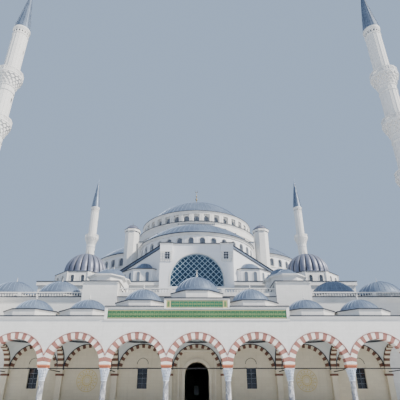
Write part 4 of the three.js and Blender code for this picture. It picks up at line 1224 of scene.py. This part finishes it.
def cornerDrumSample(d):
    bm = emptyMesh()
    face = d["apothem"]
    side = emptyMesh()
    half = d["windowX"] + 0.005
    for off in (-1, 1):
        part = emptyMesh()
        wide, sill, spring = d["window"]
        addWindowWall(part, (half, d["bottom"], d["shoulder"]), d["window"], 1.2, 0.4, 12, (0, 1))
        addArchBand(part, wide, wide + 0.13, sill, spring, -0.08, 0.02, 2, 14)
        addPost(part, 0, wide + 0.17, -0.12, 0.04, sill - 0.12, sill, 2)
        addPost(part, 0, 0.03, 0.28, 0.36, sill, spring + 0.43, 5)
        for k in range(1, 5):
            z = sill + 0.3 * k
            addPost(part, 0, wide, 0.29, 0.35, z - 0.025, z + 0.025, 5)
        stamp(side, asSample(part), at(off * half))
    side = asSample(side)
    corner = 1 / cos(pi / 8)
    pier = boxSample(-0.42, 0.42, -0.22, 0.5, d["bottom"], d["shoulder"], 0, 0.03)
    for k in range(8):
        stamp(bm, side, around(k * pi / 4, face))
        stamp(bm, pier, around(k * pi / 4 + pi / 8, face * corner - 0.14))
    ringCornice(bm, face - 0.05, d["shoulder"] + 0.1, 0.16, 0.4, 8, (2, 3))
    collar = [(4.6, 29.9), (6.4, 29.9), (6.4, 30.4), (5.7, 30.5), (4.6, 30.5)]
    addTurned(bm, [(r * corner, z) for r, z in collar + collar[:1]], 8, 4, start=pi / 8)
    skirt = [(6.2, 30.1), (6.95, 30.1), (6.4, 30.34), (6.2, 30.34)]
    addTurned(bm, [(r * corner, z) for r, z in skirt + skirt[:1]], 8, 4, start=pi / 8)
    return asSample(bm)


def makeCornerDomes():
    d = cornerDome
    drum = cornerDrumSample(d)
    cap = asSample(ribbedCap(d))
    for name, sx, sy in (("front_right", 1, -1), ("back_right", 1, 1), ("back_left", -1, 1),
                         ("front_left", -1, -1)):
        placeSample(f"{name}_corner_drum", drum, [wallStone, paneGlass, trimStone, blackEdgeAndShade, paleLead,
                                                frameGrey],
                    "pale_stone", [f"{name}_corner_dome"], x=sx * d["at"], y=sy * d["at"])
        bm = emptyMesh()
        stamp(bm, cap, at())
        addFinial(bm, 0, 0, d["apex"] - 0.06, 1.5, 0.18, 1)
        finishPiece(f"{name}_ribbed_dome", bm, [darkLead, giltMetal, blackEdgeAndShade], "dark_lead",
                    [f"{name}_corner_dome"], sharp=50, x=sx * d["at"], y=sy * d["at"])


makeCornerDomes()
print("corner domes made")


# Terrace: balusters, low gallery domes, buttress towers, cornices

terrace = {"top": 19.6, "half": 47.5, "front": -54.0, "back": 50.0, "edge": 0.5, "rail": 1.1, "wall": 0.35,
           "pitch": 0.54,
           "tower": 19.1, "towerHalf": 3.46, "towerTop": 22.66, "towerOut": 0.5, "centre": 20.4,
           "shoulderX": 13.6, "galleryRise": 3.45, "galleryDrum": 1.5,
           "gallery": ((29.4, -46.5, 4.8), (39.4, -46.5, 4.8), (29.4, 44.2, 4.4), (39.4, 44.2, 4.4),
                       (42.6, -29.4, 3.6), (42.6, 29.4, 3.6)),
           "lantern": (24.7, 25.6, 2.0, 26.6), "rearLantern": (25.8, 26.9, 2.5, 28.5), "lanternFace": 3.55,
           "towerBack": -38.0}
faces = {"front": 54.0, "back": 50.0, "right": 47.5, "left": 47.5}


def balusterSample():
    low, high = 0.2, terrace["rail"] - 0.18
    span = high - low
    shape = [(0, 0), (0.13, 0), (0.13, 0.07), (0.08, 0.14), (0.145, 0.36), (0.08, 0.62), (0.09, 0.9),
             (0.13, 0.94), (0.13, 1), (0, 1)]
    return turnedSample([(r, low + share * span) for r, share in shape], 8)


def parapetRun(bm, sample, x0, x1, y, z, turn=0):
    count = max(1, round((x1 - x0) / 12))
    width = (x1 - x0) / count
    placeTurn = Matrix.Rotation(turn, 4, "Z")
    for k in range(count):
        low, high = x0 + k * width + 0.35, x0 + (k + 1) * width - 0.35
        number = max(1, round((high - low) / terrace["pitch"]))
        for i in range(number):
            stamp(bm, sample, placeTurn @ at(low + (i + 0.5) * (high - low) / number, y, z))


def makeBalusters():
    t = terrace
    sample = balusterSample()
    wing = t["tower"] + t["towerHalf"] + 0.003
    rim = t["half"] + t["edge"] - t["wall"]
    for name, sx in (("left", -1), ("right", 1)):
        bm = emptyMesh()
        low, high = sorted((sx * wing, sx * (t["half"] + 0.2)))
        parapetRun(bm, sample, low, high, t["front"] + t["wall"], t["top"])
        parapetRun(bm, sample, low, high, t["back"] + t["edge"] - t["wall"], t["top"])
        parapetRun(bm, sample, wing, t["back"], -sx * rim, t["top"], pi / 2)
        parapetRun(bm, sample, t["front"], -wing, -sx * rim, t["top"], pi / 2)
        finishPiece(f"{name}_terrace_balusters", bm, [trimStone], "pale_stone")
    bm = emptyMesh()
    inner = t["tower"] - t["towerHalf"] + 0.1
    for side, turn in sides.items():
        parapetRun(bm, sample, -inner, inner, -faces[side] + 0.4, t["centre"], turn)
    finishPiece("centre_balusters", bm, [trimStone], "pale_stone")


def makeGalleryDomes():
    t = terrace
    bm = emptyMesh()
    z = t["top"] + t["galleryDrum"]
    for x, y, radius in [(sx * x, y, r) for sx in (-1, 1) for x, y, r in t["gallery"]]:
        addLeadCap(bm, radius + 0.12, t["galleryRise"], z, 28, 9, 0.06, x=x, y=y, ribMat=3)
        ringCornice(bm, radius + 0.35, z, 0.16, 0.4, 8, (1, 2), x, y)
        addFinial(bm, x, y, z + t["galleryRise"] - 0.05, 1.1, 0.13, 1)
    finishPiece("gallery_domes", bm, [paleLead, trimStone, blackEdgeAndShade, seamHighlightLead], "lead_sheet")


def addLantern(bm, x, y, eave, skirtTop, radius, capTop):
    # Mats: 0 stone, 1 dark edge, 2 pale lead
    corner = 1 / cos(pi / 8)
    ringCornice(bm, terrace["lanternFace"], eave, 0.2, 0.4, 8, (0, 1), x, y)
    skirt = [(1.0, eave), (3.86, eave), (3.86, eave + 0.06), (radius + 0.05, skirtTop + 0.06),
             (1.0, skirtTop + 0.06)]
    addTurned(bm, [(r * corner, z) for r, z in skirt + skirt[:1]], 8, 2, x, y, start=pi / 8)
    addLeadCap(bm, radius, capTop - skirtTop, skirtTop + 0.02, 16, 8, 0.05, x=x, y=y, mat=2, ribMat=3,
               lip=0.1)
    addFinial(bm, x, y, capTop - 0.03, 1.0, 0.13, 0)


def makeTowerTrim():
    # Cornices, lanterns and the lead over the hollow shoulders of the buttress towers
    t = terrace
    for side, turn in sides.items():
        face = faces[side]
        bm = emptyMesh()
        front = -face + 1
        back = t["towerBack"]
        half, top = t["towerHalf"], t["towerTop"]
        for sx in (-1, 1):
            x = sx * t["tower"]
            addCornice(bm, x - half - 0.04, x + half + 0.04, -face - t["towerOut"], top + 0.04, 0.26, 0.46)
            for edge in (-1, 1):
                strip = emptyMesh()
                addCornice(strip, -face - t["towerOut"] - 0.2, back, 0, top + 0.04, 0.2, 0.46)
                place = Matrix.Diagonal((edge, 1, 1, 1)) @ Matrix.Translation((half, 0, 0)) @ quarter
                stamp(bm, asSample(strip), at(x) @ place)
            addLantern(bm, x, front + 4, *t["lantern"])
            if side == "front":
                addLantern(bm, x, front + 10, *t["rearLantern"])
            inner = t["tower"] - half
            arc = [(t["shoulderX"] + (inner - t["shoulderX"]) * cos(pi * i / 24),
                    top - (top - t["centre"]) * sin(pi * i / 24))
                   for i in range(13)]
            over = [(u - 0.1, z + 0.1) for u, z in arc]
            # A stone cover over each shoulder, its front edge a near-black strip: lead edge with a painted
            # line of shade
            for y0, y1, mat in ((front + 0.5, front + 0.62, 1), (front + 0.62, min(front + 9.3, back), 0)):
                stamp(bm, plateSample(arc + over[::-1], y0, y1, mat), Matrix.Diagonal((sx, 1, 1, 1)))
        finishPiece(f"{side}_tower_trim", bm, [trimStone, blackEdgeAndShade, paleLead, seamHighlightLead], "pale_stone",
                    turn=turn)


upper = {"half": 38.0, "top": 27.0, "windows": (-31, -11, 11, 31), "sill": 21.3, "spring": 24.0,
         "cornice": ((-38.35, -9.02), (9.02, 38.35))}


def makeUpperTrim():
    # Cornice and window frames of the upper block
    u = upper
    sill, spring, face = u["sill"], u["spring"], -u["half"]
    bm = emptyMesh()
    window = emptyMesh()
    addArchBand(window, 0.62, 1.15, sill, spring, -0.12, 0.5, 0, 14)
    addPlate(window, archLine(0.66, sill, spring, 14), 0.3, 0.5, 1)
    addPost(window, 0, 1.3, -0.22, 0.4, sill - 0.2, sill + 0.1, 0)
    addPost(window, 0, 0.05, 0.2, 0.3, sill + 0.1, spring + 0.6, 2)
    for i in range(1, 6):
        z = sill + 0.1 + i * 0.5
        addPost(window, 0, 0.64, 0.21, 0.29, z - 0.04, z + 0.04, 2)
    window = asSample(window)
    side = emptyMesh()
    for x in u["windows"]:
        stamp(side, window, at(x, face, 0))
    for x0, x1 in u["cornice"]:
        addCornice(side, x0, x1, face, u["top"], 0.44, 0.95, (0, 3))
    side = asSample(side)
    for turn in sides.values():
        stamp(bm, side, Matrix.Rotation(turn, 4, "Z"))
    finishPiece("upper_block_trim", bm, [trimStone, paneGlass, frameGrey, blackEdgeAndShade], "pale_stone")


hall = {"sill": 11.4, "spring": 13.6, "pitch": 9.9, "corniceTop": 19.64,
        "frontCornice": ((-42.3, -22.6), (-15.6, 15.6),
                                                                                      (22.6, 42.3)),
        "plinth": (0.5, 1.4, 1.55), "belt": (9.6, 9.78, 9.9, 9.96), "backHalf": 47.4,
        "sides": (("back", 9, 0, 47.5), ("right", 10, -2.0, 52.0), ("left", 10, -2.0, 52.0))}


def hallWindowSamples():
    sill, spring = hall["sill"], hall["spring"]
    low = emptyMesh()
    addFrame(low, 0, 0, *portico["window"])
    addGrille(low, 0, 0.35, *portico["window"])
    high = emptyMesh()
    addArchBand(high, 0.64, 1.2, sill, spring, -0.14, 0.55, 1, 16)
    addPlate(high, archLine(0.68, sill, spring, 16), 0.35, 0.55, 3)
    addPost(high, 0, 1.4, -0.26, 0.4, sill - 0.25, sill + 0.05, 1)
    addPost(high, 0, 0.04, 0.26, 0.34, sill + 0.05, spring + 0.6, 0)
    for i in range(1, 6):
        z = sill + i * 0.44
        addPost(high, 0, 0.66, 0.27, 0.33, z - 0.035, z + 0.035, 0)
    return asSample(low), asSample(high)


def makeHallTrim():
    h = hall
    low, high = hallWindowSamples()
    foot, shelf, slope = h["plinth"]
    z0, z1, z2, z3 = h["belt"]
    for side, count, middle, length in h["sides"]:
        distance = faces[side]
        bm = emptyMesh()
        whole = emptyMesh()
        for i in range(count):
            place = at((i - (count - 1) / 2) * h["pitch"], -distance, 0)
            stamp(whole, low, place)
            stamp(whole, high, place)
        addRun(whole, -length, length, -distance, [(-0.1, foot), (0.16, foot), (0.16, shelf), (0.06, slope),
                                                   (-0.1, slope)], 1)
        addRun(whole, -length, length, -distance, [(-0.1, z0), (0.06, z0), (0.18, z1), (0.18, z2),
                                                   (-0.1, z3)], 1)
        addCornice(whole, -length, length, -distance, h["corniceTop"], 0.48, 1.1, (1, 5))
        stamp(bm, asSample(whole), Matrix.Translation((0, middle, 0)) @ Matrix.Rotation(sides[side], 4,
                                                                                        "Z"))
        if side == "back":
            for sx in (1, -1):
                trimPast(bm, (sx * h["backHalf"], 0, 0), (sx, 0, 0))
        finishPiece(f"{side}_hall_trim", bm, [ironBlack, trimStone, giltMetal, paneGlass, frameGrey,
                                              blackEdgeAndShade], "pale_stone")
    bm = emptyMesh()
    for x0, x1 in h["frontCornice"]:
        addCornice(bm, x0, x1, -faces["front"], h["corniceTop"], 0.48, 1.15)
    finishPiece("front_hall_cornice", bm, [trimStone, blackEdgeAndShade], "pale_stone")


makeBalusters()
makeGalleryDomes()
makeTowerTrim()
makeUpperTrim()
makeHallTrim()
print("terrace and hall made")


# Minarets

minaret = {"front": (46.35, -58.003), "back": (51.503, 51.6), "half": 4.0, "baseTop": 22.0, "neck": 28.0,
           "radius": 2.05,
           "upper": 1.88, "balconies": (44.5, 58.5, 72.6), "spire": 89.0, "tip": 107.1, "reach": 3.25,
           "slits": (36.0, 51.0, 65.0, 80.5), "bevel": 1.3,
           "caps": ((0.25, 21.25, 21.6, 1), (0.0, 21.6, 21.9, 1), (-0.01, 21.9, 21.97, 2),
                    (0.25, 21.95, 22.05, 2))}


def balconySample(radius, floor):
    # A balcony on rows of stalactite corbels, with a pierced stone rail
    bm = emptyMesh()
    reach = minaret["reach"]
    core = [(radius - 0.2, floor - 3.2), (radius + 0.04, floor - 3.2), (radius + 0.1, floor - 2.7),
            (radius + 0.35, floor - 1.8),
            (reach - 0.6, floor - 0.95), (reach - 0.28, floor - 0.35), (reach, floor - 0.25),
            (reach, floor), (radius - 0.2, floor)]
    addTurned(bm, core + core[:1], 32, 0)
    for drop in (3.5, 5.1):
        ring = [(radius - 0.1, floor - drop), (radius + 0.02, floor - drop),
                (radius + 0.14, floor - drop + 0.12),
                (radius + 0.14, floor - drop + 0.26), (radius + 0.02, floor - drop + 0.36),
                (radius - 0.1, floor - drop + 0.36)]
        addTurned(bm, ring + ring[:1], 32, 0)
    rows = ((radius + 0.18, floor - 2.9, 0.8), (radius + 0.42, floor - 2.2, 0.75),
            (reach - 0.52, floor - 1.5, 0.7), (reach - 0.26, floor - 0.85, 0.6))
    count = 16
    for row, (ring, z, height) in enumerate(rows):
        width = pi * ring / count * 0.88
        cell = emptyMesh()
        foot = [(-width * 0.18, 0), (width * 0.18, 0), (width, height * 0.7), (width, height)]
        addPlate(cell, foot + [(-width, height), (-width, height * 0.7)], -0.14, 0.3, 0)
        cell = asSample(cell)
        for k in range(count):
            stamp(bm, cell, around(2 * pi * (k + 0.5 * (row % 2)) / count, ring, z))
    rail = reach - 0.16
    post = boxSample(-0.11, 0.11, -0.11, 0.11, floor, floor + 1.4, 0, 0.02)
    slat = boxSample(-0.06, 0.06, -0.05, 0.05, floor + 0.2, floor + 1.15, 0)
    for k in range(16):
        stamp(bm, post, around(2 * pi * k / 16, rail))
        for j in (1, 2, 3):
            stamp(bm, slat, around(2 * pi * (k + j / 4) / 16, rail * cos(pi / 16) + 0.02))
    for z0, z1 in ((floor, floor + 0.22), (floor + 1.12, floor + 1.38)):
        band = [(rail - 0.1, z0), (rail + 0.1, z0), (rail + 0.1, z1), (rail - 0.1, z1)]
        addTurned(bm, band + band[:1], 16, 0)
    return asSample(bm)


def shaftSample(radius, z0, z1):
    # A shaft of sixteen flats with a thin round roll on each edge
    bm = emptyMesh()
    addTurned(bm, [(0, z0), (radius, z0), (radius, z1), (0, z1)], 16, 0)
    roll = turnedSample([(0, z0), (0.07, z0), (0.07, z1), (0, z1)], 8)
    for k in range(16):
        stamp(bm, roll, around(2 * pi * k / 16, radius - 0.01))
    return asSample(bm)


def minaretSample():
    m = minaret
    bm = emptyMesh()
    half = m["half"]
    addBox(bm, -half, half, -half, half, 0.0, m["baseTop"] - 0.7, 0, 0.04)
    for inset, z0, z1, mat in m["caps"]:
        addBox(bm, -half + inset, half - inset, -half + inset, half - inset, z0, z1, mat)
    neck = m["radius"] + 0.3
    shoulder = emptyMesh()
    place = Matrix.Translation((0, 0, (m["neck"] + m["baseTop"]) / 2)) @ Matrix.Rotation(pi / 4, 4, "Z")
    bmesh.ops.create_cone(shoulder, cap_ends=True, segments=4, radius1=(half - 0.3) * sqrt(2),
                          radius2=neck * 1.08 * sqrt(2), depth=m["neck"] - m["baseTop"], matrix=place)
    uprights = [edge for edge in shoulder.edges if abs(edge.verts[0].co.z - edge.verts[1].co.z) > 1]
    bmesh.ops.bevel(shoulder, geom=uprights, offset=m["bevel"], offset_type="OFFSET", affect="EDGES",
                    segments=1, profile=0.5, material=-1)
    stamp(bm, asSample(shoulder), at())
    ringMoulding(bm, neck + 0.1, m["neck"] - 0.4, ((0.2, 0.0), (0.3, 0.14), (0.2, 0.02)), 32, 1, depth=1.5)
    levels = (m["neck"], *m["balconies"])
    radii = (m["radius"], m["radius"] - 0.03, m["radius"] - 0.06, m["upper"])
    tops = [z - 3.0 for z in m["balconies"]] + [m["spire"] - 0.8]
    for radius, z0, z1 in zip(radii, levels, tops):
        stamp(bm, shaftSample(radius, z0, z1), at())
    for radius, floor in zip(radii, m["balconies"]):
        stamp(bm, balconySample(radius, floor), at())
        stamp(bm, boxSample(-0.42, 0.42, -0.06, 0.2, floor, floor + 2.0, 3), around(pi, radii[1]))
    for z in m["slits"]:
        stamp(bm, boxSample(-0.12, 0.12, -0.03, 0.1, z, z + 1.2, 3),
              around(pi / 2, m["upper"] if z > 72 else radii[1]))
    eyelet = plateSample(archLine(0.13, 0, 0.42, 6), -0.03, 0.06, 3)
    for k in range(16):
        stamp(bm, eyelet, around(2 * pi * (k + 0.5) / 16, m["upper"] * cos(pi / 16), m["spire"] - 1.75))
    collar = m["spire"] - 1.0
    ringMoulding(bm, m["upper"] + 0.02, collar, ((0.3, 0.02), (0.3, 0.14), (0.4, 0.24)), 32, 1, depth=1.2)
    ringMoulding(bm, m["upper"] + 0.02, m["spire"] - 2.3, ((0.2, 0.1),), 32, 1, depth=0.6)
    return asSample(bm)


def spireSample():
    m = minaret
    bm = emptyMesh()
    z = m["spire"] + 0.01
    low = m["upper"] + 0.2
    addTurned(bm, [(0, z), (low, z), (low, z + 0.15), (low - 0.12, z + 0.5), (0.22, m["tip"] - 3.7),
                   (0, m["tip"] - 3.6)], 32, 0)
    seam = plateSample([(low - 0.02, z + 0.4), (low + 0.03, z + 0.42), (0.27, m["tip"] - 3.75),
                    (0.2, m["tip"] - 3.75)], -0.035,
             0.035, 0)
    for k in range(16):
        stamp(bm, seam, at(turn=2 * pi * k / 16))
    addFinial(bm, 0, 0, m["tip"] - 3.85, 3.84, 0.34, 1)
    return asSample(bm)


def makeMinarets():
    m = minaret
    tower = minaretSample()
    spire = spireSample()
    for row in ("front", "back"):
        x, y = m[row]
        for hand, sx in (("right", 1), ("left", -1)):
            placeSample(f"{row}_{hand}_minaret_shaft", tower, [wallStone, trimStone, paleLead, blackGlass],
                        "pale_stone", [f"{row}_{hand}_minaret"], x=sx * x, y=y)
            placeSample(f"{row}_{hand}_minaret_spire", spire, [paleLead, seamHighlightLead], "lead_sheet",
                        [f"{row}_{hand}_spire"], x=sx * x, y=y)


makeMinarets()
print("minarets made")


# Floor, light and camera

studio = {"focal": 36.0, "sensor": 36.0, "tilt": 26.5, "distance": 13.3, "eye": 0.16, "aside": -0.015,
          "shift": 0.00985,
          "floorHalf": 60, "sunTurn": 66, "sunHeight": 40, "sunPower": 7.6, "skyPower": 0.72,
          "sunSpread": 1.5, "sunColour": (1.0, 0.95, 0.87), "skyColour": (0.55, 0.72, 1.0, 1),
          "floorColour": (0.72, 0.74, 0.77), "farClip": 400}


def makeStudio():
    s = studio
    bm = emptyMesh()
    bmesh.ops.create_grid(bm, x_segments=1, y_segments=1, size=s["floorHalf"])
    mesh = bpy.data.meshes.new("floor")
    bm.to_mesh(mesh)
    bm.free()
    floor = bpy.data.objects.new("floor", mesh)
    mesh.materials.append(Paint("floorPaint").finish(Base_Color=s["floorColour"], Roughness=0.8))
    bpy.context.collection.objects.link(floor)
    world = bpy.data.worlds.new("studioSky")
    world.use_nodes = True
    background = world.node_tree.nodes["Background"]
    background.inputs["Color"].default_value = s["skyColour"]
    background.inputs["Strength"].default_value = s["skyPower"]
    bpy.context.scene.world = world
    sun = bpy.data.lights.new("key", "SUN")
    sun.energy = s["sunPower"]
    sun.angle = radians(s["sunSpread"])
    sun.color = s["sunColour"]
    key = bpy.data.objects.new("key", sun)
    turn, height = radians(s["sunTurn"]), radians(s["sunHeight"])
    away = Vector((sin(turn) * cos(height), -cos(turn) * cos(height), sin(height)))
    key.rotation_mode = "QUATERNION"
    key.rotation_quaternion = away.to_track_quat("Z", "Y")
    bpy.context.collection.objects.link(key)
    camera = bpy.data.cameras.new("camera")
    camera.lens = s["focal"]
    camera.sensor_width = s["sensor"]
    camera.shift_x = s["shift"]
    camera.clip_end = s["farClip"]
    eye = bpy.data.objects.new("camera", camera)
    eye.location = (s["aside"], domeY - s["distance"], s["eye"])
    eye.rotation_euler = (radians(90 + s["tilt"]), 0, 0)
    bpy.context.collection.objects.link(eye)
    bpy.context.scene.camera = eye


makeStudio()
print("studio made")
